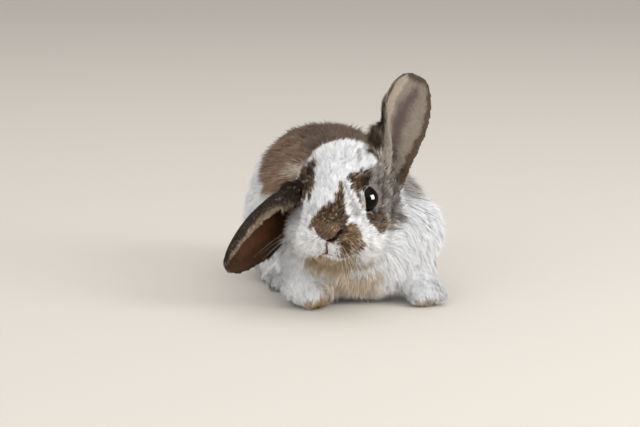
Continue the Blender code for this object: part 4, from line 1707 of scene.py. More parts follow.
@dataclass
class Coat:
    """One region of the coat as a mesh of tapered hair blades."""

    skin: Skin
    region: Region
    triangles: Array
    style: TuftStyle = field(init=False)
    rng: np.random.Generator = field(init=False)  # the piece's own source of chance
    # swells in the heading, length and lift of locks: mm between swells, their share, their seed
    swirls: tuple[tuple[float, float, int], ...] = ((22.0, 0.26, 41), (6.0, 0.16, 43))
    lengths: tuple[float, float, int] = (9.0, 0.10, 47)
    lifts: tuple[float, float, int] = (11.0, 0.18, 53)
    # how much chance changes a lock's heading and lift, and a tuft's heading and length
    lock_chance: tuple[float, float] = (0.16, 0.14)
    tuft_chance: tuple[float, float] = (0.09, 0.08)
    # how much chance changes a hair's lift, length, roll and width
    hair_chance: tuple[float, float, float, float] = (0.16, 0.10, 0.5, 0.15)
    guard_share: float = 0.06  # of the hairs stand up, by this much more, and are longer
    guard_rise: float = 1.45
    guard_length: float = 1.08

    def __post_init__(self) -> None:
        """Choose how the region's hairs are drawn, and start its source of chance."""
        self.style = STYLES.get(self.region, BODY_COAT)
        self.rng = np.random.default_rng(SEED + list(Region).index(self.region))

    def each(self, values: Array) -> Array:
        """Repeat a tuft's values for each of its hairs."""
        return np.repeat(values, self.style.hairs, axis=0)

    def roots(self) -> tuple[Array, Array]:
        """Scatter tufts over the region.

        Returns:
            The skin triangle of each tuft, and its place there as three weights.
        """
        skin, style, rng = self.skin, self.style, self.rng
        density = skin.grown[:, 3][skin.triangles[self.triangles]].mean(axis=1) / style.hairs
        expected = skin.areas[self.triangles] * density
        total = expected.sum() * style.hairs * (2 * len(style.rings) - 1)
        if total > LIMIT:
            LOG.info("%s: thinned to %.2f of its hairs", self.region.value[0], LIMIT / total)
            expected *= LIMIT / total * 0.99
        count = np.floor(expected + rng.random(len(expected))).astype(int)
        chosen = np.repeat(self.triangles, count)
        first, second = np.sqrt(rng.random(len(chosen))), rng.random(len(chosen))
        weights = np.stack([1 - first, first * (1 - second), first * second], axis=1)
        return chosen, weights

    def locks(self, roots: Array) -> Array:
        """Gather the tufts into locks.

        Args:
            roots: the tufts' places in mm.

        Returns:
            For each tuft, the number of the tuft that it leans to.
        """
        leaders = self.rng.choice(len(roots), max(1, len(roots) // self.style.tufts), replace=False)
        tree = KDTree(len(leaders))
        for leader in leaders:
            tree.insert(roots[leader], int(leader))
        tree.balance()
        return np.array([tree.find(root)[1] for root in roots])

    def planted(self) -> Tufts:
        """Plant the region's tufts, gathered into locks, inside the solids' surface.

        Returns:
            The tufts.
        """
        skin, style, rng = self.skin, self.style, self.rng
        chosen, weights = self.roots()

        def at(values: Array) -> Array:
            """Read values of the skin's vertices at the tufts."""
            corners = values[skin.triangles[chosen]]
            return np.sum(corners * (weights if corners.ndim == 2 else weights[..., None]), axis=1)

        root, normal, lie, growth = at(skin.vertices), unit(at(skin.normals)), at(skin.lie), at(skin.grown)
        lie = unit(lie - normal * np.sum(lie * normal, axis=1, keepdims=True))
        nearest = skin.triangles[chosen, weights.argmax(axis=1)]
        ear = np.stack([skin.ear_s[nearest], skin.ear_t[nearest], at(skin.ear_inside)], axis=1)
        lock = self.locks(root)
        middle = root[lock]
        chance = rng.normal(0, 1, (len(root), 3))[lock]

        def swell(form: tuple[float, float, int]) -> Array:
            """Give a smooth change that all tufts of a lock share."""
            return form[1] * waves(middle, form[0], form[2])

        swirl = swell(self.swirls[0]) + swell(self.swirls[1])
        swirl = (swirl + self.lock_chance[0] * chance[:, 0]) * style.unrest
        swirl = swirl + rng.normal(0, self.tuft_chance[0], len(root))
        length = growth[:, 0] * (1 + swell(self.lengths) + rng.normal(0, self.tuft_chance[1], len(root)))
        bristle = (swell(self.lifts) + self.lock_chance[1] * chance[:, 1]) * style.unrest
        made = Tufts(
            root=root,
            normal=normal,
            lie=lie,
            beside=np.cross(normal, lie),
            node=skin.nodes[nearest],
            ear=ear,
            width=growth[:, 2],
            lean=(middle - root) * style.lock,
            swirl=swirl,
            length=length,
            rise=np.radians(growth[:, 1]) * (1 + bristle),
            shade=chance[:, 2],
        )
        over = np.maximum(skin.overshoot(made.tips()) - style.allowance, 0.0)
        made.length = length * np.clip(1 - 1.1 * over / length, 0.4, 1.0)
        made.rise = made.rise * np.clip(1 - 0.5 * over / made.length, 0.5, 1.0)
        return made

    def drawn(self, tufts: Tufts) -> Hairs:
        """Draw each tuft's hairs round its root, a few of them standing up.

        Args:
            tufts: the tufts.

        Returns:
            The hairs.
        """
        style, rng, each = self.style, self.rng, self.each
        count = len(tufts.root)
        total = count * style.hairs
        lift, length, roll, width = self.hair_chance
        number = np.tile(np.arange(style.hairs), count)
        turn = each(rng.uniform(0, 2 * math.pi, count)) + number * 2.4 + rng.normal(0, 0.4, total)
        out = style.scatter * np.sqrt((number + 0.5) / style.hairs)
        lie, beside, centre = each(tufts.lie), each(tufts.beside), each(tufts.root)
        root = centre + (lie * (np.cos(turn) * out)[:, None] + beside * (np.sin(turn) * out)[:, None])
        heading = each(tufts.swirl) + rng.normal(0, style.stray, total)
        rise = np.clip(each(tufts.rise) * (1 + rng.normal(0, lift, total)), 0.05, 1.3)
        guard = rng.random(total) < self.guard_share
        reach = each(tufts.length) * (1 + rng.normal(0, length, total))
        return Hairs(
            style=style,
            root=root,
            centre=centre,
            normal=each(tufts.normal),
            along=tilted(lie, beside, heading),
            mean_along=each(tufts.along()),
            pull=each(tufts.lean),
            rise=np.where(guard, rise * self.guard_rise, rise),
            reach=reach * np.where(guard, self.guard_length, 1.0),
            roll=np.clip(rng.normal(0, roll, total), -0.9, 0.9),
            width=each(tufts.width) * (1 + rng.normal(0, width, total)),
        )

    def build(self) -> bpy.types.Object:
        """Grow the region's hairs.

        Returns:
            The piece of coat.
        """
        tufts = self.planted()
        hairs = self.drawn(tufts)
        vertices, faces, facing = hairs.blades()
        name, slot = self.region.value
        mesh = new_mesh(name, vertices, faces, MM)
        self.colour(mesh, hairs.path(0.55), tufts)
        self.unwrap(mesh, tufts, faces)
        made = finished(name, mesh, SOFT_COAT.material())
        mesh.normals_split_custom_set_from_vertices(facing)
        return made

    def colour(self, mesh: bpy.types.Mesh, places: Array, tufts: Tufts) -> None:
        """Colour each hair from its root to its tip.

        Args:
            mesh: the piece's mesh.
            places: a place on each hair, which picks its marking.
            tufts: the tufts that the hairs belong to.
        """
        rng, each, total, count = self.rng, self.each, len(places), len(tufts.root)
        draw = each(rng.random(count)) * 0.9 + 0.05
        spots = places + rng.normal(0, MARK_SCATTER, (total, 3))
        low, middle, tip, vary = self.skin.colours(spots, each(tufts.node), each(tufts.ear), draw)
        shade = rng.normal(0, 1, total) * 0.55 + each(tufts.shade)
        shade = np.exp(shade * vary - 0.5 * vary**2)[:, None]
        fleck = each(rng.random(count))
        on_ear = self.region in (Region.LEFT_EAR, Region.RIGHT_EAR)
        pale = ((fleck < vary * (0.08 if on_ear else 0.5)) & (vary > 0.15))[:, None]
        tip = np.where(pale, lerp(tip, PALE_TIP, 0.42), tip)
        rows = []
        # the colour darkens towards the root: partly the hair's own banding, partly painted shade deep in the
        # coat
        for share in (*self.style.rings, 1.0):
            if share < MIDDLE_AT:
                value = lerp(low, middle, share / MIDDLE_AT)
            else:
                value = lerp(middle, tip, (share - MIDDLE_AT) / (1 - MIDDLE_AT))
            rows += [np.minimum(value * shade, 0.93)] * (1 if share == 1.0 else 2)
        paint_points(mesh, "coat_colour", np.stack(rows, axis=1).reshape(-1, 3))

    def unwrap(self, mesh: bpy.types.Mesh, tufts: Tufts, faces: Array) -> None:
        """Give each tuft a small patch of the map at its root's place on an unwrap of the skin.

        Args:
            mesh: the piece's mesh.
            tufts: the tufts.
            faces: the mesh's triangles.
        """
        style = self.style
        place = unwrapped(self.region, tufts, self.skin)
        low, high = place.min(axis=0), place.max(axis=0)
        place = MAP_MARGIN + (place - low) / np.maximum(high - low, 1e-9) * (1 - 2 * MAP_MARGIN)
        place = self.each(place)
        strip = PATCH / style.hairs
        number = np.tile(np.arange(style.hairs), len(tufts.root))
        left = (number - style.hairs / 2) * strip
        rows = []
        for share in (*style.rings, 1.0):
            height = np.full(len(left), (share - 0.5) * PATCH)
            for across in (0.5,) if share == 1.0 else (0.06, 0.94):
                rows.append(place + np.stack([left + strip * across, height], axis=1))
        points = np.stack(rows, axis=1).reshape(-1, 2)
        layer = mesh.uv_layers.new(name="OFBake")
        layer.data.foreach_set("uv", points[faces.ravel()].astype(np.float32).ravel())


def unwrapped(region: Region, tufts: Tufts, skin: Skin) -> Array:
    """Lay a region's skin out flat.

    Args:
        region: the part of the coat.
        tufts: its tufts.
        skin: the skin they stand on.

    Returns:
        Rows of two coordinates, one for each tuft, in any unit.
    """
    root, ear = tufts.root, tufts.ear
    if region in (Region.LEFT_EAR, Region.RIGHT_EAR):
        half = np.where(ear[:, 2] > 0, ear[:, 1], 2.1 - ear[:, 1])
        return np.stack([half, ear[:, 0]], axis=1)
    if region in (Region.MUZZLE, Region.FACE, Region.CROWN, Region.CHEEKS):
        away = unit(HEAD.to_head(root) - np.array([0.0, 6.0, -3.0]))
        polar = np.arccos(np.clip(-away[:, 1], -1, 1))
        if region in (Region.MUZZLE, Region.FACE):
            around = np.arctan2(away[:, 2], away[:, 0])
            return np.stack([polar * np.cos(around), polar * np.sin(around)], axis=1)
        above = -away[:, 2] if region is Region.CHEEKS else away[:, 2]
        return np.stack([np.arctan2(away[:, 0], above), polar], axis=1)
    if region is Region.PAWS:
        place = np.zeros((len(root), 2))
        for number, name in enumerate(("right_foreleg", "left_foreleg", "right_hind_foot", "left_hind_foot")):
            mine = skin.marked(tufts.node, (name,))
            offset = root[mine] - np.mean([np.array(corner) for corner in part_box(name)], axis=0) / MM
            around = np.arctan2(offset[:, 0], offset[:, 2]) / (2 * math.pi) + 0.5
            place[mine] = np.stack([(number + 0.04 + around * 0.92) / 4, offset[:, 1] / 70.0], axis=1)
        return place
    if region in (Region.CHEST, Region.TAIL):
        away = root - np.array([10.0, -20.0, 40.0] if region is Region.CHEST else [13.5, 62.0, 30.0])
        turned = np.arctan2(away[:, 0], np.abs(away[:, 1]) + 4.0)
        return np.stack([turned, away[:, 2] / 40.0], axis=1)
    offset = root - np.array([13.5, 0.0, 40.0])
    return np.stack([np.arctan2(offset[:, 0], offset[:, 2]), root[:, 1] / 40.0], axis=1)


def region_of(skin: Skin) -> Array:
    """Sort the skin's triangles into the coat's regions.

    Args:
        skin: the finished skin.

    Returns:
        The number of each triangle's region.
    """
    first = skin.triangles[:, 0]
    node = np.array(skin.names)[skin.nodes[first]]
    head = skin.head[skin.triangles].mean(axis=1)
    centre = skin.vertices[skin.triangles].mean(axis=1)
    kinds = list(Region)
    found = np.full(len(node), kinds.index(Region.FLANKS))

    def put(where: Array, region: Region) -> None:
        """Assign triangles to a region."""
        found[where] = kinds.index(region)

    on_head = np.isin(node, HEAD_NODES)
    put(on_head & (head[:, 1] < -14), Region.MUZZLE)
    put(on_head & (head[:, 1] >= -14) & (head[:, 1] < 3), Region.FACE)
    put(on_head & (head[:, 1] >= 3) & (head[:, 2] > -4), Region.CROWN)
    put(on_head & (head[:, 1] >= 3) & (head[:, 2] <= -4), Region.CHEEKS)
    put(on_head & (head[:, 0] < -15) & (head[:, 2] < -3) & (head[:, 1] > -12), Region.CHEEKS)
    put(node == "left_ear", Region.LEFT_EAR)
    put(node == "right_ear", Region.RIGHT_EAR)
    fore = np.isin(node, ["chest", "neck", "left_upper_arm", "right_upper_arm"])
    put(fore & (centre[:, 1] < -38), Region.CHEST)
    put(fore & (centre[:, 1] >= -38), Region.SHOULDERS)
    put((node == "loin") & (centre[:, 2] > 55), Region.BACK)
    put(node == "rump", Region.RUMP)
    put((node == "rump") & (centre[:, 2] > 60), Region.BACK)
    put(np.char.endswith(node, "foreleg") | np.char.endswith(node, "hind_foot"), Region.PAWS)
    put(node == "tail", Region.TAIL)
    return found


# ---------------------------------------------------------------- eyes, whiskers, claws


@dataclass
class Eye:
    """An eyeball with a dark iris, a black pupil and a clear bulging front."""

    shape: EyeShape
    name: str
    rings: int = 48
    segments: int = 72

    def build(self) -> bpy.types.Object:
        """Make the eyeball as one closed surface.

        Returns:
            The eyeball, in place of its solid.
        """
        centre, outward, forward, upward = self.shape.frame()
        polar = np.linspace(0, math.pi, self.rings + 1)[1:-1]
        around = np.linspace(0, 2 * math.pi, self.segments, endpoint=False)
        theta, phi = np.meshgrid(polar, around, indexing="ij")
        bulge = self.shape.cornea * smoothstep(math.radians(56), math.radians(8), theta)
        radius = self.shape.radius + bulge
        points = (
            outward * (np.cos(theta) * radius)[..., None]
            + forward * (np.sin(theta) * np.cos(phi) * radius)[..., None]
            + upward * (np.sin(theta) * np.sin(phi) * radius)[..., None]
        ).reshape(-1, 3)
        poles = np.array([outward * (self.shape.radius + self.shape.cornea), -outward * self.shape.radius])
        vertices = HEAD.to_row(np.concatenate([points, poles]) + centre)
        index = np.arange(len(points)).reshape(theta.shape)
        nextward = np.roll(index, -1, axis=1)
        body = np.stack([index[:-1], index[1:], nextward[1:], nextward[:-1]], axis=-1).reshape(-1, 4)
        split = np.concatenate([body[:, [0, 1, 2]], body[:, [0, 2, 3]]])
        front = np.stack([np.full(self.segments, len(points)), index[0], nextward[0]], axis=1)
        back = np.stack([np.full(self.segments, len(points) + 1), nextward[-1], index[-1]], axis=1)
        faces = np.concatenate([split, front, back])
        middle = HEAD.to_row(centre[None])[0]
        corner = vertices[faces[0]]
        if np.cross(corner[1] - corner[0], corner[2] - corner[0]) @ (corner[0] - middle) < 0:
            faces = faces[:, ::-1]
        mesh = new_mesh(self.name, vertices, faces, MM)
        angle = np.degrees(np.concatenate([theta.ravel(), [0.0, math.pi]]))
        pupil, iris, white = rgb(1, 1, 1), rgb(6, 4, 3), rgb(6, 5, 4)
        colour = lerp(pupil, iris, smoothstep(25, 30, angle)[:, None])
        colour = lerp(colour, white, smoothstep(48, 54, angle)[:, None])
        paint_points(mesh, "eye_colour", colour)
        made = finished(self.name, mesh, WET_EYE.material())
        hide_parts("left_eye" if self.shape.side > 0 else "right_eye")
        return made


def wired(tree: bpy.types.NodeTree, kinds: dict[str, str], wires: str) -> dict[str, bpy.types.Node]:
    """Place nodes in a tree and join them.

    Args:
        tree: the tree.
        kinds: the nodes' types, some with an operation, under the names that they are joined by.
        wires: one join to a line, as name.output > name.input, where a number picks a socket by
            its place.

    Returns:
        The nodes by name.
    """
    made = {}
    for name, kind in kinds.items():
        kind, _, operation = kind.partition(" ")
        made[name] = tree.nodes.new(kind)
        if operation:
            made[name].operation = operation

    def end(wire: str, side: str) -> bpy.types.NodeSocket:
        """Find the socket at one end of a wire."""
        name, socket = wire.strip().split(".")
        return getattr(made[name], side)[int(socket) if socket.isdigit() else socket]

    for line in wires.strip().splitlines():
        source, target = line.split(">")
        tree.links.new(end(source, "outputs"), end(target, "inputs"))
    return made


def curve_sweep_group(
    name: str, thickness: float, sides: int, material: bpy.types.Material
) -> bpy.types.NodeTree:
    """Build the Geometry Nodes tree that turns lines into tapered strands.

    Args:
        name: the tree's name.
        thickness: radius at the root in metres.
        sides: corners of the cross-section.
        material: the strands' finish.

    Returns:
        The tree, with the inputs Lines, Thickness, Sides and Tip share.
    """
    tree = bpy.data.node_groups.new(name, "GeometryNodeTree")
    for label, way, kind, value in (
        ("Lines", "INPUT", "Geometry", None),
        ("Thickness", "INPUT", "Float", thickness),
        ("Sides", "INPUT", "Int", sides),
        ("Tip share", "INPUT", "Float", 0.12),
        ("Strands", "OUTPUT", "Geometry", None),
    ):
        socket = tree.interface.new_socket(label, in_out=way, socket_type="NodeSocket" + kind)
        if value is not None:
            socket.default_value = value
    made = wired(
        tree,
        {
            "given": "NodeGroupInput",
            "result": "NodeGroupOutput",
            "curves": "GeometryNodeMeshToCurve",
            "along": "GeometryNodeSplineParameter",
            "taper": "ShaderNodeMapRange",
            "scaled": "ShaderNodeMath MULTIPLY",
            "profile": "GeometryNodeCurvePrimitiveCircle",
            "sweep": "GeometryNodeCurveToMesh",
            "realized": "GeometryNodeRealizeInstances",
            "dress": "GeometryNodeSetMaterial",
        },
        """
        along.Factor > taper.Value
        given.Tip share > taper.To Max
        taper.Result > scaled.0
        given.Thickness > scaled.1
        given.Lines > curves.Mesh
        curves.Curve > sweep.Curve
        scaled.0 > sweep.Scale
        given.Sides > profile.Resolution
        profile.Curve > sweep.Profile Curve
        sweep.Mesh > realized.Geometry
        realized.Geometry > dress.Geometry
        dress.Geometry > result.Strands
        """,
    )
    made["taper"].inputs["To Min"].default_value = 1.0
    made["profile"].inputs["Radius"].default_value = 1.0
    made["sweep"].inputs["Fill Caps"].default_value = True
    made["dress"].inputs["Material"].default_value = material
    return tree


def swept(
    name: str, lines: Array, radius: float, sides: int, tip: float, material: bpy.types.Material
) -> bpy.types.Mesh:
    """Sweep tapered strands along lines by Geometry Nodes.

    Args:
        name: the piece's name.
        lines: places in mm, as (line, point, 3).
        radius: radius at the root in mm.
        sides: corners of the cross-section.
        tip: the tip's radius as a share of the root's.
        material: the finish.

    Returns:
        The strands as one plain mesh.
    """
    count, points = lines.shape[:2]
    mesh = bpy.data.meshes.new(name)
    index = np.arange(count * points).reshape(count, points)
    pairs = np.stack([index[:, :-1], index[:, 1:]], axis=-1).reshape(-1, 2)
    mesh.from_pydata((lines.reshape(-1, 3) * MM).tolist(), pairs.tolist(), [])
    work = new_object(name + "_lines", mesh)
    grown = work.modifiers.new("strands", "NODES")
    tree = curve_sweep_group(name + "_sweep", radius * MM, sides, material)
    grown.node_group = tree
    wanted = {"Thickness": radius * MM, "Sides": sides, "Tip share": tip}
    for item in tree.interface.items_tree:
        if item.item_type == "SOCKET" and item.in_out == "INPUT" and item.name in wanted:
            grown[item.identifier] = wanted[item.name]
    made = baked(work)
    bpy.data.objects.remove(work)
    made.name = name
    return made


@dataclass(frozen=True)
class WhiskerBed:
    """A group of stiff hairs in the head's frame; its numbers rise by a step for each hair, mm."""

    first: Triple
    step: Triple
    aim: Triple
    aim_step: Triple
    length: tuple[float, float]
    depth: float  # mm above the floor that its hairs are kept


BROW_HAIRS = WhiskerBed((8.5, -5.0, 12.5), (1.6, 2.5, 0.0), (0.6, -0.3, 0.75), (0, 0, 0), (9.0, 14.0), 0.6)
CHIN_HAIRS = WhiskerBed(
    (7.0, -20.0, -23.0), (1.3, 1.0, 0.0), (0.12, -0.25, -0.95), (0.1, 0, 0), (12.0, 17.0), 0.7
)


@dataclass
class Whiskers:
    """The long stiff hairs of the whisker pads, a few over the eyes and a few below the left pad."""

    skin: Skin
    tree: BVHTree = field(init=False)
    rng: np.random.Generator = field(init=False)
    rows: int = 4
    columns: int = 4
    length: tuple[float, float] = (16.0, 34.0)
    radius: float = 0.055
    sides: int = 5
    tip_share: float = 0.2
    points: int = 14
    set_in: float = 0.6  # mm that the root goes into the skin

    def __post_init__(self) -> None:
        """Take the skin's surface, to set the roots on, and start the whiskers' source of chance."""
        self.tree = surface_tree(self.skin.vertices, self.skin.triangles)
        self.rng = np.random.default_rng(SEED + 77)

    def build(self) -> bpy.types.Object:
        """Lay out the whiskers' lines and sweep them.

        Returns:
            All the whiskers as one piece.
        """
        lines = []
        for side in (-1, 1):
            for row in range(self.rows):
                for column in range(self.columns + row % 2):
                    spot = [1.6 + side * (5.4 + 1.5 * column), -27.5 + 2.3 * column, -11.0 - 2.0 * row]
                    spot = np.array(spot) + self.rng.normal(0, 0.3, 3)
                    aim = (side * (0.55 + 0.16 * column), -0.42 + 0.22 * column, -0.50 - 0.14 * row)
                    reach = self.rng.uniform(*self.length) * (0.75 + 0.08 * column)
                    lines.append(self.line(spot, aim, reach, 0.8 + 0.1 * row))
            lines += self.bed(BROW_HAIRS, side, 3)
        lines += self.bed(CHIN_HAIRS, 1, 4)
        mesh = swept("whiskers", np.array(lines), self.radius, self.sides, self.tip_share, WHISKER.material())
        return finished("whiskers", mesh, None)

    def bed(self, bed: WhiskerBed, side: int, count: int) -> list[Array]:
        """Lay out the hairs of one small bed.

        Args:
            bed: where they stand and aim.
            side: 1 on the left, -1 on the right.
            count: how many hairs there are.

        Returns:
            One line of places for each hair.
        """
        mirror = np.array([side, 1.0, 1.0])
        lines = []
        for number in range(count):
            spot = (np.array(bed.first) + number * np.array(bed.step)) * mirror
            aim = (np.array(bed.aim) + number * np.array(bed.aim_step)) * mirror
            lines.append(self.line(spot, aim, self.rng.uniform(*bed.length), bed.depth))
        return lines

    def line(self, spot: Array, aim: Array | Triple, reach: float, low: float) -> Array:
        """Give one whisker's line, from just inside the skin outwards and down.

        Args:
            spot: about where the root is, in the head's frame, mm.
            aim: the way it points, in the head's frame.
            reach: its length in mm.
            low: how near the floor it may come, in mm.

        Returns:
            Places along it in mm.
        """
        place = np.array(self.tree.find_nearest(Vector(HEAD.to_row(spot[None])[0]))[0])
        aim = unit(HEAD.aim_row(unit(np.array(aim) + self.rng.normal(0, 0.07, 3))))
        fall = np.array([0.0, 0.0, -1.0]) * self.rng.uniform(0.14, 0.3)
        share = np.linspace(0, 1, self.points)[:, None]
        path = place - aim * self.set_in + aim * reach * share + fall * reach * share**2
        path[:, 2] = np.maximum(path[:, 2], low)
        return path


@dataclass
class Claws:
    """Short curved claws at the toes of the four feet, sizes in mm."""

    skin: Skin
    feet: tuple[tuple[tuple[float, float], float], ...] = (
        ((-18.2, -5.6), 46.0),
        ((33.0, -13.2), 12.0),
        ((-30.5, 44.0), 0.0),
        ((30.5, 44.0), 0.0),
    )  # where the toes end, in the frame of modelling, and the degrees they point to the left
    toes: tuple[float, ...] = (-5.7, -1.9, 1.9, 5.7)  # across the foot
    height: float = 3.2
    length: float = 4.0
    radius: float = 0.6
    tip_share: float = 0.15
    set_in: float = 1.6
    points: int = 7
    sides: int = 8
    arch: float = 0.9  # how far a claw rises before it curves down
    curve: float = 2.6
    lowest: float = 0.75

    def build(self) -> bpy.types.Object:
        """Place a claw on each toe and sweep them.

        Returns:
            All the claws as one piece.
        """
        tree = surface_tree(self.skin.vertices, self.skin.triangles)
        share = np.linspace(0, 1, self.points)[:, None]
        bent = np.array([0, 0, self.arch]) * share - np.array([0, 0, self.curve]) * share**2
        lines = []
        for (x, y), heading in self.feet:
            turn = math.radians(heading)
            ahead = np.array([math.sin(turn), -math.cos(turn), 0.0])
            beside = np.array([-ahead[1], ahead[0], 0.0])
            middle = np.array([x, y, 0.0]) + HEAD.shift()
            middle[2] = self.height
            for aside in self.toes:
                spot = middle + beside * aside - ahead * abs(aside) * 0.25
                place = np.array(tree.find_nearest(Vector(spot + ahead * 2.0))[0])
                line = place - ahead * self.set_in + ahead * self.length * share + bent
                line[:, 2] = np.maximum(line[:, 2], self.lowest)
                lines.append(line)
        mesh = swept("claws", np.array(lines), self.radius, self.sides, self.tip_share, CLAW_HORN.material())
        return finished("claws", mesh, None)


# ---------------------------------------------------------------- finishes


def started(name: str) -> tuple[bpy.types.Material, bpy.types.NodeTree, bpy.types.Node]:
    """Start a material with one Principled shader.

    Args:
        name: the material's name.

    Returns:
        The material, its tree and its shader.
    """
    made = bpy.data.materials.new(name)
    made.use_nodes = True
    return made, made.node_tree, made.node_tree.nodes["Principled BSDF"]


def fleck_group() -> bpy.types.NodeTree:
    """Build the group that varies a coat's, skin's or eye's colour finely over the surface.

    Returns:
        A group with the inputs Colour, Scale and Amount and the outputs Colour and Height.
    """
    known = bpy.data.node_groups.get("coat_fleck")
    if known:
        return known
    tree = bpy.data.node_groups.new("coat_fleck", "ShaderNodeTree")
    for name, way, kind in (
        ("Colour", "INPUT", "Color"),
        ("Scale", "INPUT", "Float"),
        ("Amount", "INPUT", "Float"),
        ("Colour", "OUTPUT", "Color"),
        ("Height", "OUTPUT", "Float"),
    ):
        tree.interface.new_socket(name, in_out=way, socket_type="NodeSocket" + kind)
    made = wired(
        tree,
        {
            "given": "NodeGroupInput",
            "result": "NodeGroupOutput",
            "place": "ShaderNodeTexCoord",
            "noise": "ShaderNodeTexNoise",
            "centred": "ShaderNodeMath SUBTRACT",
            "scaled": "ShaderNodeMath MULTIPLY_ADD",
            "shade": "ShaderNodeVectorMath SCALE",
        },
        """
        place.Object > noise.Vector
        given.Scale > noise.Scale
        noise.Fac > centred.0
        centred.0 > scaled.0
        given.Amount > scaled.1
        given.Colour > shade.0
        scaled.0 > shade.Scale
        shade.0 > result.Colour
        noise.Fac > result.Height
        """,
    )
    made["noise"].inputs["Detail"].default_value = 3.0
    made["noise"].inputs["Roughness"].default_value = 0.6
    made["centred"].inputs[1].default_value = 0.5
    made["scaled"].inputs[2].default_value = 1.0
    return tree


@dataclass(frozen=True)
class FleckedFinish:
    """A finish painted by a colour attribute, its shade varied finely by flecks."""

    name: str
    attribute: str
    scale: float
    amount: float
    shader: tuple[tuple[str, float], ...]
    grain: tuple[float, float] | None = None  # strength of the bump, and its depth in metres

    def material(self) -> bpy.types.Material:
        """Make the material, once.

        Returns:
            The material that all pieces of this finish share.
        """
        known = bpy.data.materials.get(self.name)
        if known:
            return known
        made, tree, shader = started(self.name)
        source = tree.nodes.new("ShaderNodeAttribute")
        source.attribute_name = self.attribute
        group = tree.nodes.new("ShaderNodeGroup")
        group.node_tree = fleck_group()
        group.inputs["Scale"].default_value = self.scale
        group.inputs["Amount"].default_value = self.amount
        tree.links.new(source.outputs["Color"], group.inputs["Colour"])
        tree.links.new(group.outputs["Colour"], shader.inputs["Base Color"])
        if self.grain:
            bump = tree.nodes.new("ShaderNodeBump")
            bump.inputs["Strength"].default_value, bump.inputs["Distance"].default_value = self.grain
            tree.links.new(group.outputs["Height"], bump.inputs["Height"])
            tree.links.new(bump.outputs["Normal"], shader.inputs["Normal"])
        for socket, value in self.shader:
            shader.inputs[socket].default_value = value
        return made


@dataclass(frozen=True)
class HornFinish:
    """A finish in streaks between two colours."""

    name: str
    scale: float
    dark: Triple
    pale: Triple
    roughness: float

    def material(self) -> bpy.types.Material:
        """Make the material.

        Returns:
            The material.
        """
        made, tree, shader = started(self.name)
        place, noise = tree.nodes.new("ShaderNodeTexCoord"), tree.nodes.new("ShaderNodeTexNoise")
        noise.inputs["Scale"].default_value = self.scale
        ramp = tree.nodes.new("ShaderNodeValToRGB")
        for element, shade in zip(ramp.color_ramp.elements, (self.dark, self.pale)):
            element.color = (*linear(*shade), 1.0)
        tree.links.new(place.outputs["Object"], noise.inputs["Vector"])
        tree.links.new(noise.outputs["Fac"], ramp.inputs["Fac"])
        tree.links.new(ramp.outputs["Color"], shader.inputs["Base Color"])
        shader.inputs["Roughness"].default_value = self.roughness
        return made


SOFT_COAT = FleckedFinish(
    name="soft_coat",
    attribute="coat_colour",
    scale=260.0,
    amount=0.35,
    shader=(
        ("Roughness", 0.62),
        ("Specular IOR Level", 0.14),
        ("Sheen Weight", 0.05),
        ("Sheen Roughness", 0.45),
    ),
)
FURRED_SKIN = FleckedFinish(
    name="short_furred_skin",
    attribute="coat_colour",
    scale=900.0,
    amount=0.5,
    shader=(("Roughness", 0.6), ("Specular IOR Level", 0.25)),
    grain=(0.35, 0.0002),
)
WET_EYE = FleckedFinish(
    name="wet_eye",
    attribute="eye_colour",
    scale=700.0,
    amount=0.6,
    shader=(
        ("Roughness", 0.3),
        ("Specular IOR Level", 0.0),
        ("Coat Weight", 0.4),
        ("Coat IOR", 1.35),
        ("Coat Roughness", 0.02),
    ),
)
WHISKER = HornFinish("whisker", 90.0, (205, 198, 188), (244, 242, 238), 0.4)
CLAW_HORN = HornFinish("claw_horn", 1400.0, (120, 96, 82), (196, 174, 156), 0.3)


# ---------------------------------------------------------------- the studio


@dataclass(frozen=True)
class SoftBox:
    """A square studio light, placed from the target in the camera's own directions."""

    name: str
    right: float
    up: float
    toward: float
    size: float
    watts: float
    eyes_only: bool = False


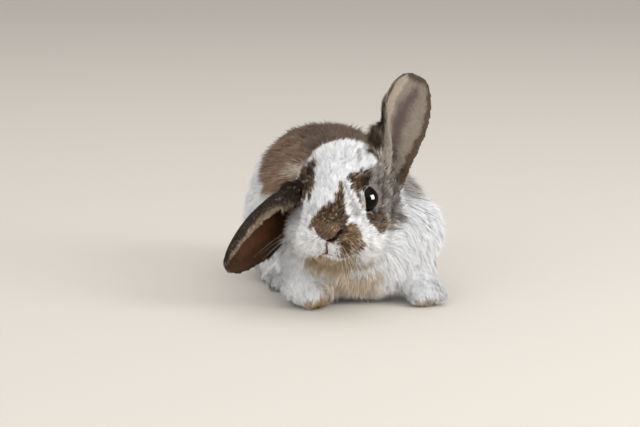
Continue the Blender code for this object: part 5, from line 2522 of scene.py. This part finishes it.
@dataclass
class Studio:
    """A pale floor, soft lights and the camera."""

    target: Triple = (-21.0, 5.0, 47.0)  # in the frame of modelling, mm
    azimuth: float = -13.0
    elevation: float = 9.5
    distance: float = 1.2
    lens: float = 135.0
    floor_front: float = -4.0  # metres: the floor runs level from here to its bend, then curves up
    floor_bend: float = 6.0
    floor_curve: float = 3.0
    floor_half_width: float = 9.0
    floor_steps: int = 40
    room_light: float = 0.6
    boxes: tuple[SoftBox, ...] = (
        SoftBox("key_light", 0.6, 1.1, 0.6, 1.5, 5.5),
        SoftBox("side_light", 1.0, 0.5, 0.5, 0.6, 6.5),
        SoftBox("eye_light", 1.0, 0.35, 0.42, 0.72, 150.0, eyes_only=True),
        SoftBox("fill_light", -1.1, 0.5, 1.3, 1.9, 11.0),
        SoftBox("low_light", -0.25, 0.05, 1.5, 1.3, 7.5),
        SoftBox("top_light", 0.0, 1.3, -0.4, 1.6, 5.5),
    )

    def directions(self) -> tuple[Vector, Vector, Vector]:
        """Give the camera's right, the world's up and the level way back to the camera."""
        sine, cosine = math.sin(math.radians(self.azimuth)), math.cos(math.radians(self.azimuth))
        return Vector((cosine, sine, 0)), Vector((0, 0, 1)), Vector((sine, -cosine, 0))

    def aim(self) -> Vector:
        """Give the place that the camera and the lights are turned to, in metres."""
        return Vector((np.array(self.target) + HEAD.shift()) * MM)

    def build(self) -> None:
        """Set up the whole studio."""
        self.floor()
        self.light_up()
        self.camera()

    def floor(self) -> None:
        """Lay a large pale floor that curves up far behind."""
        rows = []
        for step in range(self.floor_steps):
            share = step / (self.floor_steps - 1)
            if share < 0.5:
                rows.append((self.floor_front + (self.floor_bend - self.floor_front) * share / 0.5, 0.0))
            else:
                turn = (share - 0.5) * math.pi
                rise = self.floor_curve * (1 - math.cos(turn))
                rows.append((self.floor_bend + self.floor_curve * math.sin(turn), rise))
        points = [(x, y, z) for y, z in rows for x in (-self.floor_half_width, self.floor_half_width)]
        faces = [(2 * k, 2 * k + 1, 2 * k + 3, 2 * k + 2) for k in range(len(rows) - 1)]
        mesh = bpy.data.meshes.new("studio_floor")
        mesh.from_pydata(points, [], faces)
        shade_smooth(mesh)
        ground = new_object("studio_floor", mesh)
        made, _, shader = started("pale_paper")
        shader.inputs["Base Color"].default_value = (*linear(214, 208, 199), 1.0)
        shader.inputs["Roughness"].default_value = 0.85
        ground.data.materials.append(made)

    def light_up(self) -> None:
        """Hang the soft boxes and set the even light of the room."""
        right, up, toward = self.directions()
        target = self.aim()
        eyes = bpy.data.collections.new("lit_by_the_eye_light")
        for name in ("left_eyeball", "right_eyeball"):
            eyes.objects.link(bpy.data.objects[name])
        for box in self.boxes:
            light = bpy.data.lights.new(box.name, "AREA")
            light.shape = "SQUARE"
            light.size = box.size
            light.energy = box.watts
            lamp = bpy.data.objects.new(box.name, light)
            lamp.location = target + right * box.right + up * box.up + toward * box.toward
            lamp.rotation_euler = (target - lamp.location).to_track_quat("-Z", "Y").to_euler()
            bpy.context.scene.collection.objects.link(lamp)
            if box.eyes_only:
                lamp.visible_diffuse = False
                lamp.light_linking.receiver_collection = eyes
        world = bpy.data.worlds.new("room")
        world.use_nodes = True
        background = world.node_tree.nodes["Background"]
        background.inputs["Color"].default_value = (0.95, 0.94, 0.92, 1.0)
        background.inputs["Strength"].default_value = self.room_light
        bpy.context.scene.world = world
        bpy.context.scene.view_settings.view_transform = "Standard"

    def camera(self) -> None:
        """Place the camera."""
        turn, rise = math.radians(self.azimuth), math.radians(self.elevation)
        back = Vector((math.sin(turn) * math.cos(rise), -math.cos(turn) * math.cos(rise), math.sin(rise)))
        lens = bpy.data.cameras.new("camera")
        lens.lens = self.lens
        lens.sensor_width = 36.0
        lens.clip_start = 0.05
        lens.clip_end = 50.0
        camera = bpy.data.objects.new("camera", lens)
        camera.location = self.aim() + back * self.distance
        camera.rotation_euler = (-back).to_track_quat("-Z", "Y").to_euler()
        bpy.context.scene.collection.objects.link(camera)
        bpy.context.scene.camera = camera


# ---------------------------------------------------------------- assembly


def report(piece: bpy.types.Object) -> None:
    """Log a piece's name and the number of its faces."""
    LOG.info("%s: %d faces", piece.name, len(piece.data.polygons))


def main() -> None:
    """Build the rabbit and its studio, in order, and report each piece."""
    logging.basicConfig(level=logging.INFO, format="%(name)s: %(message)s")
    skin = Skin()
    report(skin.build())
    regions = region_of(skin)
    for number, region in enumerate(Region):
        report(Coat(skin, region, np.nonzero(regions == number)[0]).build())
    report(Eye(EYES[0], "right_eyeball").build())
    report(Eye(EYES[1], "left_eyeball").build())
    report(Whiskers(skin).build())
    report(Claws(skin).build())
    Studio().build()


if __name__ == "__main__":
    main()
